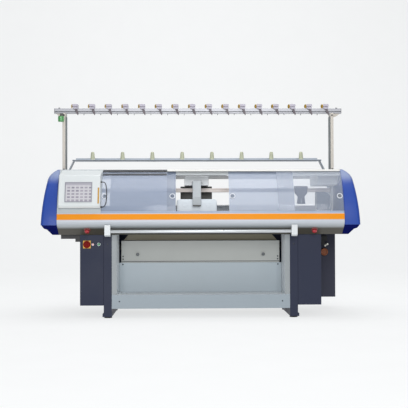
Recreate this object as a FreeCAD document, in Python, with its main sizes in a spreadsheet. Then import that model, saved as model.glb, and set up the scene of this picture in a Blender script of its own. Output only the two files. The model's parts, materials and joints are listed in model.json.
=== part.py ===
import FreeCAD, Part
import math
import os
from types import SimpleNamespace

import Sketcher

# Computerised flat knitting machine.
# Frame: origin on the floor under the middle of the machine, +X to the right as the
# operator sees it, +Y away from the operator, +Z up.  All sizes in millimetres.

Vector = FreeCAD.Vector
doc = FreeCAD.newDocument("flat_knitting_machine")
sheet = doc.addObject("Spreadsheet::Sheet", "Sizes")

# ---------------------------------------------------------------- driving sizes
DRIVING_SIZES = dict(
    # overall stations along the machine and up it
    half_length=1260, cover_half=1131, leg_inner=712, leg_width=64, column_width=40,
    cabinet_outer=965, hood_edge=788,
    crown_height=1190, apron_top=836, strip_top=830, strip_bottom=785, apron_fold=745,
    belly_height=665, belly_reach=338, beam_height=53, beam_wall=4, beam_flange=60,
    tie_width=167, tie_height=122,
    # the arc that the caps, hood, apron and doors share
    arc_axis_y=162, arc_axis_z=736, arc_radius=620, sheet_wall=3, strip_wall=1.2,
    # end caps and their bases
    cap_skirt=742, cap_edge=16, cap_flank=4000, cap_shoulder=112, shoulder_inset=34,
    shoulder_drop=87, crown_inset=100, base_tuck=10, base_lip=14, base_rim=8,
    base_step=46, base_step_drop=34, base_foot=77,
    # legs, feet and cabinets
    leg_front=335, leg_back=270, foot_height=10, foot_plate=24, foot_overhang=10,
    pad_radius=32, pad_height=6, pad_stem=12, pad_edge=38,
    cabinet_bottom=100, cabinet_front=330, cabinet_back=250,
    side_box_end=1170, side_box_front=185, side_box_back=484, side_box_bottom=112,
    stretcher_height=90, stretcher_bottom=80, stretcher_wall=40,
    # panels between the legs
    panel_plane=95, panel_wall=3, kick_bottom=75, kick_top=186, kick_front=338,
    lower_top=428, flap_bottom=438, flap_top=609, flap_side_gap=58, flap_wall=4,
    hinge_radius=5, knob_radius=13, knob_length=22, knob_side_gap=135, knob_drop=112,
    # take-down rollers behind the flap
    roller_radius=30, press_radius=18, roller_height=560, roller_gap=1.5, roller_side_gap=24,
    journal_radius=10, journal_seat=14, bore_relief=2, running_fit=0.05, motor_length=60,
    # bed casting, needle beds, carriage rails
    ridge_half=715, casting_reach=266, casting_deck=700, casting_throat=40,
    throat_half=30, slot_half=690,
    bed_half=672, crest_height=905, crest_gap=9, bed_run=165, bed_wall=34,
    trick_count=56, trick_width=7, trick_depth=6, trick_land=10,
    rail_centre=230, rail_head=40, rail_head_height=28, rail_web=14, rail_top=829.7,
    rail_half=960,
    # tray under the left end and housing inside the right end
    tray_end=1121, tray_height=33, tray_reach=300, tray_socket=41, tray_socket_height=24,
    housing_left=956, housing_right=1064, housing_top=1009, housing_front=190,
    housing_back=75, housing_round=50,
    # carriage
    carriage_x=-32, cam_box_width=324, cam_box_front=300, cam_box_back=100, cam_box_top=948,
    cam_box_round=24, bed_clearance=4, slide_clearance=0.3,
    bridge_width=68, bridge_front=128, bridge_wall=36, bridge_top=1100, bridge_foot=899,
    bridge_elbow=965, bridge_shoulder=30,
    block_width=199, block_bottom=1064, block_top=1142, block_back=240,
    rear_box_width=268, rear_box_front=88,
    # feeder rails and yarn carrier
    feeder_half=1090, feeder_y=42, feeder_bottom=1013, feeder_top=1044, feeder_wall=12,
    feeder_groove=4, bracket_wall=10, bracket_half=120, bracket_top=1062,
    carrier_x=843, carrier_base=100, carrier_top_width=114, carrier_bottom=998,
    carrier_top=1061, carrier_wall=8, carrier_tip=911, carrier_neck=58,
    carrier_neck_height=973, carrier_foot=72,
    # carriage drive
    pulley_x=1030, pulley_z=785, pulley_radius=36, pulley_width=27, belt_wall=3,
    belt_width=25, belt_y=278, post_wall=8, post_width=90, drive_radius=44,
    # doors and tracks
    door_width=520, door_wall=4, door_track_drop=8, track_pitch=12, door_foot_play=5,
    door_head_play=3, track_wall=3, track_base=5, track_play=1, track_rise=16,
    track_hang=16,
    door_edge_play=1, door_2_left=-720, door_3_left=223,
    ring_outer=22.5, ring_inner=16, ring_length=8, ring_height=971, ring_inset=27,
    # control box and screen
    box_left=-1118, box_right=-790, box_bottom=876, box_stand_low=47, box_low_edge=896,
    box_stand_high=116.3, box_high_edge=1136, box_top=1184, box_round=16,
    screen_left=-1067, screen_right=-854, screen_bottom=923, screen_top=1081, screen_wall=6,
    # control cable and its glands
    cable_radius=3.5, gland_radius=7, gland_length=12, gland_inset=16,
    lower_gland_inset=40, cable_top=1082, cable_bottom=886,
    # operating bar, stop buttons, main switch
    bar_radius=12.5, bar_inset=13, bar_height=692, bar_journal=8, bar_pin=22,
    bar_bracket_width=47, bar_bracket_bottom=652, bar_bracket_reach=60,
    stop_x=900, stop_reach=400, stop_radius=20, stop_cap=14, stop_stem=7, stop_collar=26,
    stop_collar_height=9, stop_travel=4,
    switch_x=-910, switch_height=588, switch_plate=62, switch_plate_wall=4, knob_disc=21,
    knob_disc_length=10, knob_grip=9, knob_grip_length=16, lamp_x=-862, power_x=-814,
    button_radius=11, button_collar=14, button_length=9, collar_length=5,
    # yarn stand over the machine
    stand_x=-14, mast_x=1120, mast_width=25, mast_depth=105, mast_y=0,
    rail_bottom=1674, rail_height=42, rail_depth=40, rail_end=1205,
    gusset_length=57, gusset_height=30, gusset_radius=70, gusset_wall=30,
    tension_x=8, tension_pitch=140, tension_pairs=8, tension_width=43, tension_height=34,
    tension_depth=40, disc_radius=17, disc_wall=5, disc_gap=3, arm_rise=18, arm_start=9,
    arm_length=85, arm_width=14, arm_wall=5, arm_offset=13, arm_lean=20,
    table_x=-25, table_half=1031, table_bottom=1277, table_wall=3, table_depth=220,
    table_flange=10, table_lip=30, table_foot=1075, table_leg_width=100,
    pin_base=21, pin_top=13, pin_height=73, pin_first=125, pin_pitch=250,
    lamp_radius=25, lamp_drop=31, lamp_height=46, lamp_offset=20, lamp_stem=8,
)

for row, (alias, number) in enumerate(DRIVING_SIZES.items(), 1):
    sheet.set("A%d" % row, alias.replace("_", " "))
    sheet.set("B%d" % row, str(number))
    sheet.setAlias("B%d" % row, alias)
doc.recompute()


class Size:
    """A number together with the sheet expression that gives it."""

    def __init__(self, number, text):
        self.number = float(number)
        self.text = text

    def __add__(self, other):
        other = as_size(other)
        return Size(self.number + other.number, "(%s + %s)" % (self.text, other.text))

    def __radd__(self, other):
        return as_size(other) + self

    def __sub__(self, other):
        other = as_size(other)
        return Size(self.number - other.number, "(%s - %s)" % (self.text, other.text))

    def __rsub__(self, other):
        return as_size(other) - self

    def __mul__(self, other):
        other = as_size(other)
        return Size(self.number * other.number, "(%s * %s)" % (self.text, other.text))

    def __rmul__(self, other):
        return as_size(other) * self

    def __truediv__(self, other):
        other = as_size(other)
        return Size(self.number / other.number, "(%s / %s)" % (self.text, other.text))

    def __neg__(self):
        return Size(-self.number, "(-%s)" % self.text)


def as_size(value):
    if isinstance(value, Size):
        return value
    return Size(value, "(%r)" % float(value))


def root(value):
    return Size(math.sqrt(value.number), "sqrt(%s)" % value.text)


s = SimpleNamespace(**{alias: Size(sheet.get(alias), "Sizes." + alias) for alias in DRIVING_SIZES})
SIDES = (("left", -1), ("right", 1))
pieces = []


# ---------------------------------------------------------------- building steps
def keep(piece, label):
    """Names a finished piece; the label is also the name of its file."""
    piece.Label = label
    pieces.append(piece)
    return piece


def bind(thing, prop, value):
    thing.setExpression(prop, as_size(value).text)


def place(thing, x, y, z, turn=None):
    if turn:
        thing.Placement = FreeCAD.Placement(Vector(0, 0, 0), turn)
    bind(thing, "Placement.Base.x", x)
    bind(thing, "Placement.Base.y", y)
    bind(thing, "Placement.Base.z", z)
    return thing


def box(x, y, z):
    """A block between two stations along each axis."""
    block = doc.addObject("Part::Box", "block")
    bind(block, "Length", as_size(x[1]) - x[0])
    bind(block, "Width", as_size(y[1]) - y[0])
    bind(block, "Height", as_size(z[1]) - z[0])
    return place(block, x[0], y[0], z[0])


TURNS = {
    "x": FreeCAD.Rotation(Vector(0, 1, 0), 90),
    "y": FreeCAD.Rotation(Vector(1, 0, 0), -90),
    "z": FreeCAD.Rotation(),
}


def rod(axis, x, y, z, radius, length):
    """A cylinder that starts at a point and runs along an axis, or along a turn."""
    cylinder = doc.addObject("Part::Cylinder", "rod")
    bind(cylinder, "Radius", radius)
    bind(cylinder, "Height", length)
    return place(cylinder, x, y, z, TURNS[axis] if isinstance(axis, str) else axis)


def prism(axis, x, y, z, radius, length, sides):
    """A straight bar of regular section, given by the radius of its corners."""
    bar = doc.addObject("Part::Prism", "prism")
    bar.Polygon = sides
    bind(bar, "Circumradius", radius)
    bind(bar, "Height", length)
    return place(bar, x, y, z, TURNS[axis] if isinstance(axis, str) else axis)


def bore(axis, x, y, z, radius, length, sides=16):
    """A hole of regular section whose flats touch a circle of the given radius."""
    return prism(axis, x, y, z, radius / math.cos(math.pi / sides), length, sides)


def tapered(x, y, z, low, high, height, sides):
    """An upright pin lofted from a wide polygon to a narrow one."""
    sections = []
    for radius, station in ((low, z), (high, z + height)):
        section = doc.addObject("Part::RegularPolygon", "section")
        section.Polygon = sides
        bind(section, "Circumradius", radius)
        sections.append(place(section, x, y, station))
    pin = doc.addObject("Part::Loft", "taper")
    pin.Sections = sections
    pin.Solid = True
    pin.Ruled = True
    return pin


def fuse(*members):
    union = doc.addObject("Part::MultiFuse", "union")
    union.Shapes = list(members)
    union.Refine = True
    return union


def cut(base, *tools):
    result = doc.addObject("Part::Cut", "remainder")
    result.Base = base
    result.Tool = tools[0] if len(tools) == 1 else group(tools)
    return result


def common(*members):
    shared = doc.addObject("Part::MultiCommon", "shared")
    shared.Shapes = list(members)
    return shared


def group(members):
    """Like pieces that share one file, each still a solid of its own."""
    cluster = doc.addObject("Part::Compound", "group")
    cluster.Links = list(members)
    return cluster


def sketch_on(body, role):
    sketch = body.newObject("Sketcher::SketchObject", "outline")
    plane = [item for item in body.Origin.OriginFeatures if item.Role == role][0]
    sketch.AttachmentSupport = (plane, [""])
    sketch.MapMode = "FlatFace"
    return sketch


def draw_outline(sketch, corners, arcs=None):
    """Closed outline through corners given as sizes; arcs maps the side that leaves a
    corner to its radius, positive where it turns left and negative where it turns right."""
    arcs = arcs or {}
    ends = []
    for side, start in enumerate(corners):
        stop = corners[(side + 1) % len(corners)]
        a = Vector(as_size(start[0]).number, as_size(start[1]).number, 0)
        b = Vector(as_size(stop[0]).number, as_size(stop[1]).number, 0)
        if side not in arcs:
            sketch.addGeometry(Part.LineSegment(a, b))
            ends.append((1, 2))
            continue
        radius, left = arcs[side]
        chord = b - a
        inward = Vector(-chord.y, chord.x, 0).normalize() * (1 if left else -1)
        rise = math.sqrt(radius.number ** 2 - chord.Length ** 2 / 4)
        centre = (a + b) * 0.5 + inward * rise
        first, last = (a, b) if left else (b, a)
        angles = [math.atan2((p - centre).y, (p - centre).x) for p in (first, last)]
        circle = Part.Circle(centre, Vector(0, 0, 1), radius.number)
        sketch.addGeometry(Part.ArcOfCircle(circle, angles[0], angles[1]))
        ends.append((1, 2) if left else (2, 1))
    count = len(corners)
    for side in range(count):
        following = (side + 1) % count
        sketch.addConstraint(Sketcher.Constraint(
            "Coincident", side, ends[side][1], following, ends[following][0]))
    for side, corner in enumerate(corners):
        for kind, value in zip(("DistanceX", "DistanceY"), corner):
            value = as_size(value)
            index = sketch.addConstraint(Sketcher.Constraint(
                kind, -1, 1, side, ends[side][0], value.number))
            sketch.setExpression("Constraints[%d]" % index, value.text)
    for side, (radius, left) in arcs.items():
        index = sketch.addConstraint(Sketcher.Constraint("Radius", side, radius.number))
        sketch.setExpression("Constraints[%d]" % index, radius.text)
    return sketch


def side_profile(corners, x, arcs=None):
    """Body with a front-to-back profile, run along X between two stations."""
    body = doc.addObject("PartDesign::Body", "body")
    sketch = draw_outline(sketch_on(body, "YZ_Plane"), corners, arcs)
    bind(sketch, "AttachmentOffset.Base.z", x[0])
    pad = body.newObject("PartDesign::Pad", "run")
    pad.Profile = sketch
    bind(pad, "Length", as_size(x[1]) - x[0])
    return body


def front_profile(corners, y, arcs=None):
    """Body with a profile seen from the front, run back along Y between two stations."""
    body = doc.addObject("PartDesign::Body", "body")
    sketch = draw_outline(sketch_on(body, "XZ_Plane"), corners, arcs)
    bind(sketch, "AttachmentOffset.Base.z", -as_size(y[1]))
    pad = body.newObject("PartDesign::Pad", "run")
    pad.Profile = sketch
    bind(pad, "Length", as_size(y[1]) - y[0])
    return body


def edge_names(shape, wanted):
    return ["Edge%d" % (i + 1) for i, edge in enumerate(shape.Edges) if wanted(edge)]


def round_body(body, radius, wanted, kind="PartDesign::Fillet"):
    """Rounds or chamfers the edges of a body that answer a test."""
    doc.recompute()
    base = body.Tip
    feature = body.newObject(kind, "edge")
    feature.Base = (base, edge_names(base.Shape, wanted))
    bind(feature, "Radius" if kind.endswith("Fillet") else "Size", radius)
    body.Tip = feature
    return body


def hood_y(radius, z):
    """Front-to-back station of the shared arc at a height, at the operator's side."""
    rise = as_size(z) - s.arc_axis_z
    return s.arc_axis_y - root(radius * radius - rise * rise)


def hood_band(radius, wall, low, high, x, back=1):
    """Curved sheet that follows the shared arc between two heights."""
    inner = radius - wall
    corners = [(back * hood_y(radius, low), low), (back * hood_y(radius, high), high),
               (back * hood_y(inner, high), high), (back * hood_y(inner, low), low)]
    outward = back < 0
    return side_profile(corners, x, {0: (radius, outward), 2: (inner, not outward)})


# ---------------------------------------------------------------- end caps
# Moulded covers over both ends: an arched section from front to back, bounded by the
# rounded outline that the operator sees, on a darker base that steps in under it.
cap_depth = s.arc_radius - s.arc_axis_y + s.cap_edge
half_depth = (-cap_depth, cap_depth)
bases = []


def end_outline(side, corners, arcs):
    """Outline drawn for the right end, turned over for the left end."""
    sign = dict(SIDES)[side]
    turned = {edge: (radius, sign > 0) for edge, radius in arcs.items()}
    return front_profile([(sign * x, z) for x, z in corners], half_depth, turned)


for side, sign in SIDES:
    arch = [(hood_y(s.arc_radius, s.cap_skirt), s.cap_skirt),
            (hood_y(s.arc_radius, s.crown_height), s.crown_height),
            (-hood_y(s.arc_radius, s.crown_height), s.crown_height),
            (-hood_y(s.arc_radius, s.cap_skirt), s.cap_skirt)]
    stations = sorted((sign * s.cover_half, sign * s.half_length), key=lambda v: v.number)
    arched = side_profile(arch, stations, {0: (s.arc_radius, False), 2: (s.arc_radius, False)})
    outline = end_outline(side, [
        (s.cover_half, s.cap_skirt), (s.half_length, s.cap_skirt),
        (s.half_length - s.shoulder_inset, s.crown_height - s.shoulder_drop),
        (s.half_length - s.crown_inset, s.crown_height), (s.cover_half, s.crown_height)],
        {1: s.cap_flank, 2: s.cap_shoulder})
    shell = common(arched, outline)
    doc.recompute()
    cap = doc.addObject("Part::Chamfer", "cap")
    cap.Base = shell
    seam_x = s.cover_half.number
    skirt_z = s.cap_skirt.number
    rims = [number for number, edge in enumerate(shell.Shape.Edges, 1)
            if min(abs(v.Point.x) for v in edge.Vertexes) > seam_x + 1
            and max(v.Point.z for v in edge.Vertexes) > skirt_z + 1
            and abs(edge.Vertexes[0].Point.z - edge.Vertexes[1].Point.z) > 1]
    cap.Edges = [(number, s.cap_edge.number, s.cap_edge.number) for number in rims]
    keep(cap, "end_cap_" + side)

    base_reach = -hood_y(s.arc_radius, s.cap_skirt) - s.base_tuck
    undercut = side_profile([
        (-base_reach, s.cap_skirt - s.base_lip), (-base_reach, s.cap_skirt),
        (base_reach, s.cap_skirt), (base_reach, s.cap_skirt - s.base_lip),
        (s.belly_reach, s.belly_height), (-s.belly_reach, s.belly_height)], stations)
    stepped = end_outline(side, [
        (s.cover_half, s.cap_skirt), (s.cover_half, s.belly_height),
        (s.half_length - s.base_foot, s.belly_height),
        (s.half_length - s.base_step, s.cap_skirt - s.base_step_drop),
        (s.half_length - s.base_rim * 3, s.cap_skirt - s.base_step_drop + s.base_rim),
        (s.half_length - s.base_rim, s.cap_skirt)], {})
    bases.append(common(undercut, stepped))
keep(group(bases), "cap_bases")

# ---------------------------------------------------------------- aprons
# Folded sheet fronts under the doors: an arched upright that turns back under
# the machine, with the coloured strip laid on it.
whole_width = (-s.cover_half, s.cover_half)
fold_y = hood_y(s.arc_radius, s.apron_fold)
belly_slope = (s.apron_fold - s.belly_height) / (-fold_y - s.belly_reach)
normal_length = root(belly_slope * belly_slope + 1)


def apron(top, back):
    inner = s.arc_radius - s.sheet_wall
    slope_rise = s.sheet_wall * normal_length
    fold_in = s.apron_fold + slope_rise
    corners = [(back * hood_y(s.arc_radius, s.apron_fold), s.apron_fold),
               (back * hood_y(s.arc_radius, top), top),
               (back * hood_y(inner, top), top),
               (back * hood_y(inner, fold_in), fold_in),
               (-back * s.belly_reach, s.belly_height + slope_rise),
               (-back * s.casting_reach, s.belly_height + slope_rise),
               (-back * s.casting_reach, s.belly_height),
               (-back * s.belly_reach, s.belly_height)]
    outward = back < 0
    return side_profile(corners, whole_width,
                        {0: (s.arc_radius, outward), 2: (inner, not outward)})


keep(apron(s.apron_top, 1), "front_apron")
keep(apron(s.crest_height, -1), "rear_apron")
keep(hood_band(s.arc_radius + s.strip_wall, s.strip_wall, s.strip_bottom, s.strip_top,
               whole_width), "accent_strip")

# ---------------------------------------------------------------- hood and top beam
outer_lane = s.arc_radius - s.door_track_drop
inner_lane = outer_lane - s.track_pitch
beam_radius = inner_lane - s.door_wall - s.track_play - s.track_wall
beam_front_y = hood_y(beam_radius, s.crown_height)
under_crown = s.crown_height - s.sheet_wall


def folded_band(radius, wall, low, flange_y, x):
    """Curved sheet that turns back along the crown to a front-to-back station."""
    inner = radius - wall
    corners = [(hood_y(radius, low), low), (hood_y(radius, s.crown_height), s.crown_height),
               (flange_y, s.crown_height), (flange_y, under_crown),
               (hood_y(inner, under_crown), under_crown), (hood_y(inner, low), low)]
    return side_profile(corners, x, {0: (radius, False), 4: (inner, True)})


keep(folded_band(s.arc_radius, s.sheet_wall, s.apron_top, hood_y(beam_radius, under_crown),
                 (-s.cover_half, -s.hood_edge)), "hood_left")
tie_front = beam_front_y + s.beam_flange
beam_bottom = s.crown_height - s.beam_height
front_beam = folded_band(beam_radius, s.beam_wall, beam_bottom, tie_front, whole_width)
rear_beam = hood_band(s.arc_radius, s.beam_wall, beam_bottom, s.crown_height, whole_width, -1)
ties = []
for side, sign in SIDES:
    span = sorted((sign * (s.cover_half - s.tie_width), sign * s.cover_half),
                  key=lambda v: v.number)
    ties.append(box(span, (tie_front, -hood_y(s.arc_radius - s.beam_wall, s.crown_height)),
                    (s.crown_height - s.tie_height, s.crown_height)))
keep(group([front_beam, rear_beam] + ties), "top_beams")

# ---------------------------------------------------------------- doors and tracks
# Two lanes of curved clear doors: the end doors run in the outer lane and the
# middle doors in the inner lane, all in front of the top beam.


def track_section(root_z, seat_z, lip_z):
    """Channel section with a groove round each lane."""
    first = s.arc_radius - s.sheet_wall
    corners = [(hood_y(first, root_z), root_z), (hood_y(first, lip_z), lip_z)]
    for lane in (outer_lane, inner_lane):
        near = lane + s.track_play
        far = lane - s.door_wall - s.track_play
        corners += [(hood_y(near, lip_z), lip_z), (hood_y(near, seat_z), seat_z),
                    (hood_y(far, seat_z), seat_z), (hood_y(far, lip_z), lip_z)]
    return corners + [(hood_y(beam_radius, lip_z), lip_z),
                      (hood_y(beam_radius, root_z), root_z)]


lower_seat = s.apron_top + s.track_base
upper_seat = s.crown_height - s.track_base
lower_track = side_profile(
    track_section(s.apron_top - s.track_base, lower_seat, s.apron_top + s.track_rise),
    (-s.hood_edge - s.track_pitch, s.cover_half))
upper_track = side_profile(
    track_section(s.crown_height, upper_seat, s.crown_height - s.track_hang),
    (-s.hood_edge, s.cover_half))
keep(group([lower_track, upper_track]), "door_tracks")


def door(left, lane, ring_x):
    """Curved clear door with a flush finger ring through it."""
    pane = hood_band(lane, s.door_wall, lower_seat + s.door_foot_play,
                     upper_seat - s.door_head_play, (left, left + s.door_width))
    middle = lane - s.door_wall / 2
    tilt = math.degrees(math.asin((s.ring_height.number - s.arc_axis_z.number) / middle.number))
    outward = FreeCAD.Rotation(Vector(1, 0, 0), 90 - tilt)
    rise = s.ring_height - s.arc_axis_z
    run = root(middle * middle - rise * rise)
    back_y = s.arc_axis_y - run + run / middle * s.ring_length / 2
    back_z = s.ring_height - rise / middle * s.ring_length / 2
    rim = prism(outward, ring_x, back_y, back_z, s.ring_outer, s.ring_length, 24)
    hole = prism(outward, ring_x, back_y, back_z, s.ring_inner, s.ring_length, 24)
    return cut(fuse(pane, rim), hole)


far_ring = s.door_width - s.ring_inset
door_1_left = -s.hood_edge - s.door_edge_play * 2
door_4_left = s.cover_half - s.door_edge_play - s.door_width
keep(door(door_1_left, outer_lane, door_1_left + s.ring_inset), "door_1")
keep(door(s.door_2_left, inner_lane, s.door_2_left + far_ring), "door_2")
keep(door(s.door_3_left, inner_lane, s.door_3_left + s.ring_inset), "door_3")
keep(door(door_4_left, outer_lane, door_4_left + far_ring), "door_4")

# ---------------------------------------------------------------- control box
box_back = s.arc_radius + s.slide_clearance
box_front_low = hood_y(s.arc_radius, s.box_low_edge) - s.box_stand_low
box_front_high = hood_y(s.arc_radius, s.box_high_edge) - s.box_stand_high
box_section = [(hood_y(box_back, s.box_bottom), s.box_bottom),
               (box_front_low + s.box_round, s.box_bottom),
               (box_front_low, s.box_low_edge),
               (box_front_high, s.box_high_edge),
               (hood_y(box_back, s.box_top), s.box_top)]
control = side_profile(box_section, (s.box_left, s.box_right), {4: (box_back, True)})
front_line = box_front_high.number + 1
round_body(control, s.box_round / 2, lambda edge: max(
    v.Point.y for v in edge.Vertexes) < front_line, "PartDesign::Chamfer")


def box_front(z):
    """Front-to-back station of the box's sloping face at a height."""
    lean = (box_front_high - box_front_low) / (s.box_high_edge - s.box_low_edge)
    return (z - s.box_low_edge) * lean + box_front_low


cable_start_y = box_front(s.cable_top) + s.gland_inset
cable_end_y = box_front(s.cable_bottom) + s.lower_gland_inset
glands = [prism("x", s.box_right, y, z, s.gland_radius, s.gland_length, 6)
          for y, z in ((cable_start_y, s.cable_top), (cable_end_y, s.cable_bottom))]
keep(fuse(control, *glands), "control_box")

screen_section = [(box_front(z) - out, z) for z, out in (
    (s.screen_bottom, 0), (s.screen_bottom, s.screen_wall),
    (s.screen_top, s.screen_wall), (s.screen_top, 0))]
screen = side_profile(screen_section, (s.screen_left, s.screen_right))
keep(screen, "touch_screen")

# Cable loop beside the box: straight runs joined by tangent arcs.
cable_offsets = [(0, 0), (14, 0), (27, -13), (33, -42), (36, -88), (35, -128), (31, -160),
                 (25, -181), (13, -196), (0, -196)]
lead_start = s.box_right.number + s.gland_length.number
lead_fall = -cable_offsets[-1][1]
lead_drop = (s.cable_top.number - s.cable_bottom.number) / lead_fall
lead_sweep = (cable_start_y.number - cable_end_y.number) / lead_fall
route = [Vector(lead_start + dx, cable_start_y.number + dz * lead_sweep,
                s.cable_top.number + dz * lead_drop) for dx, dz in cable_offsets]


def rounded_route(points):
    """Wire of straight runs joined by tangent arcs, as large as the runs allow."""
    edges = []
    last = points[0]
    for before, corner, after in zip(points, points[1:], points[2:]):
        into = (corner - before).normalize()
        out = (after - corner).normalize()
        half_turn = into.getAngle(out) / 2
        reach = 0.45 * min((corner - before).Length, (after - corner).Length)
        bend = reach / math.tan(half_turn)
        start = corner - into * reach
        stop = corner + out * reach
        inward = (out - into).normalize()
        middle = corner + inward * (bend / math.cos(half_turn) - bend)
        edges += [Part.LineSegment(last, start).toShape(), Part.Arc(start, middle, stop).toShape()]
        last = stop
    edges.append(Part.LineSegment(last, points[-1]).toShape())
    return Part.Wire(edges)


lead_path = rounded_route(route)
lead_section = Part.Wire([Part.Circle(route[0], route[1] - route[0], s.cable_radius.number).toShape()])
cable = doc.addObject("Part::Feature", "cable")
cable.Shape = lead_path.makePipeShell([lead_section], True, False)
keep(cable, "control_cable")

# ---------------------------------------------------------------- bed casting
# Long casting on the legs: a flat deck with a ridge that carries both needle
# beds, and a slot through its middle where the fabric drops.
ridge_top = s.crest_height - s.bed_wall - (s.casting_throat - s.crest_gap)
ridge_foot = s.casting_throat + (ridge_top - s.casting_deck)
deck = box((-s.cover_half, s.cover_half), (-s.casting_reach, s.casting_reach),
           (s.belly_height, s.casting_deck))
ridge = side_profile([(-ridge_foot, s.casting_deck), (-s.casting_throat, ridge_top),
                      (s.casting_throat, ridge_top), (ridge_foot, s.casting_deck)],
                     (-s.ridge_half, s.ridge_half))
slot = box((-s.slot_half, s.slot_half), (-s.throat_half, s.throat_half),
           (s.belly_height - 1, ridge_top + 1))
keep(cut(fuse(deck, ridge), slot), "bed_casting")

# Cable tray under the left overhang, with its socket beside the cabinet.
tray_top = s.belly_height
tray_floor = tray_top - s.tray_height
under_tray = box((-s.tray_end, -s.cabinet_outer), (-s.tray_reach, s.casting_reach),
                 (tray_floor, tray_top))
socket = box((-s.cabinet_outer - s.tray_socket, -s.cabinet_outer),
             (-s.tray_reach, -s.tray_reach + s.tray_socket),
             (tray_floor - s.tray_socket_height, tray_floor))
keep(fuse(under_tray, socket), "cable_tray")


def needle_bed(back):
    """Sloping bed with a row of needle tricks cut along its upper face."""
    low = s.bed_run + s.crest_gap
    corners = [(-back * s.crest_gap, s.crest_height),
               (-back * s.crest_gap, s.crest_height - s.bed_wall),
               (-back * low, s.crest_height - s.bed_wall - s.bed_run),
               (-back * low, s.crest_height - s.bed_run)]
    bed = side_profile(corners, (-s.bed_half, s.bed_half))
    pitch = s.bed_half * 2 / s.trick_count
    diagonal = root(as_size(2))
    turn = FreeCAD.Rotation(Vector(1, 0, 0), 45 * back)
    if back > 0:
        start_y = s.trick_land - low
        start_z = s.crest_height - s.bed_run + s.trick_land
    else:
        start_y = s.crest_gap - s.trick_land
        start_z = s.crest_height + s.trick_land
    tricks = []
    for number in range(int(s.trick_count.number)):
        trick = doc.addObject("Part::Box", "trick")
        bind(trick, "Length", s.trick_width)
        bind(trick, "Width", s.bed_run * diagonal)
        bind(trick, "Height", s.trick_depth * 4)
        left = -s.bed_half + pitch * number + (pitch - s.trick_width) / 2
        tricks.append(place(trick, left, start_y, start_z - s.trick_depth * diagonal, turn))
    return cut(bed, *tricks)


keep(needle_bed(1), "needle_bed_front")
keep(needle_bed(-1), "needle_bed_rear")

# Carriage rails: T-section bars standing on the deck in front of and behind the beds.
rails = []
for back in (-1, 1):
    head = s.rail_head / 2
    web = s.rail_web / 2
    shoulder = s.rail_top - s.rail_head_height
    centre = s.rail_centre * back
    rails.append(side_profile([
        (centre - web, s.casting_deck), (centre - web, shoulder), (centre - head, shoulder),
        (centre - head, s.rail_top), (centre + head, s.rail_top), (centre + head, shoulder),
        (centre + web, shoulder), (centre + web, s.casting_deck)], (-s.rail_half, s.rail_half)))
keep(group(rails), "carriage_rails")

# ---------------------------------------------------------------- carriage
# Front cam box, rear cam box behind the feeder rails, and the bridge over them.


def across(width, centre=None):
    """Stations of a width about the carriage's middle."""
    centre = s.carriage_x if centre is None else centre
    return (centre - width / 2, centre + width / 2)


ride = s.rail_top + s.slide_clearance
head_inner = s.rail_centre - s.rail_head / 2 - s.bed_clearance
bed_lift = s.bed_clearance * root(as_size(2))


def over_bed(y):
    """Height just clear of the sloping bed at a distance from the middle."""
    return s.crest_height - (y - s.crest_gap) + bed_lift


cam_section = [(-s.cam_box_front, ride), (-s.cam_box_front, s.cam_box_top),
               (-s.cam_box_back, s.cam_box_top), (-s.cam_box_back, over_bed(s.cam_box_back)),
               (-head_inner + s.rail_head, over_bed(head_inner - s.rail_head)),
               (-head_inner, over_bed(head_inner - s.rail_head)), (-head_inner, ride)]
front_box = side_profile(cam_section, across(s.cam_box_width))
box_top_z = s.cam_box_top.number
round_body(front_box, s.cam_box_round, lambda edge: all(
    v.Point.z > box_top_z - 1 for v in edge.Vertexes) and
    abs(edge.Vertexes[0].Point.x - edge.Vertexes[1].Point.x) < 1)
keep(front_box, "cam_box_front")

rear_section = [(s.rear_box_front, over_bed(s.rear_box_front)),
                (s.rear_box_front, s.block_bottom), (s.block_back, s.block_bottom),
                (s.block_back, ride), (head_inner, ride),
                (head_inner, over_bed(head_inner - s.rail_head)),
                (head_inner - s.rail_head, over_bed(head_inner - s.rail_head))]
rear_box = side_profile(rear_section, across(s.rear_box_width))
keep(rear_box, "cam_box_rear")

bridge_front = -s.cam_box_front - s.bridge_wall
shoulder_y = -s.cam_box_front + s.bridge_shoulder
bridge_arm = side_profile([
    (-s.cam_box_front, s.bridge_foot), (bridge_front, s.bridge_foot),
    (bridge_front, s.bridge_elbow), (shoulder_y, s.bridge_top), (-s.bridge_front, s.bridge_top),
    (-s.bridge_front, s.block_bottom), (shoulder_y + s.bridge_wall, s.block_bottom),
    (-s.cam_box_front, s.bridge_elbow + s.bridge_wall / 2)], across(s.bridge_width))
bridge_block = box(across(s.block_width), (-s.bridge_front, s.block_back),
                   (s.block_bottom, s.block_top))
keep(fuse(bridge_arm, bridge_block), "carriage_bridge")

# ---------------------------------------------------------------- feeder rails
# Two grooved rails over the throat that the yarn carriers hang on.
feeder_bars = []
for back in (-1, 1):
    centre = s.feeder_y * back
    near = centre - s.feeder_wall / 2
    far = centre + s.feeder_wall / 2
    third = (s.feeder_top - s.feeder_bottom) / 3
    low = s.feeder_bottom + third
    high = s.feeder_top - third
    feeder_bars.append(side_profile([
        (near, s.feeder_bottom), (near, low), (near + s.feeder_groove, low),
        (near + s.feeder_groove, high), (near, high), (near, s.feeder_top),
        (far, s.feeder_top), (far, high), (far - s.feeder_groove, high),
        (far - s.feeder_groove, low), (far, low), (far, s.feeder_bottom)],
        (-s.feeder_half, s.feeder_half)))
keep(group(feeder_bars), "feeder_rails")

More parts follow.
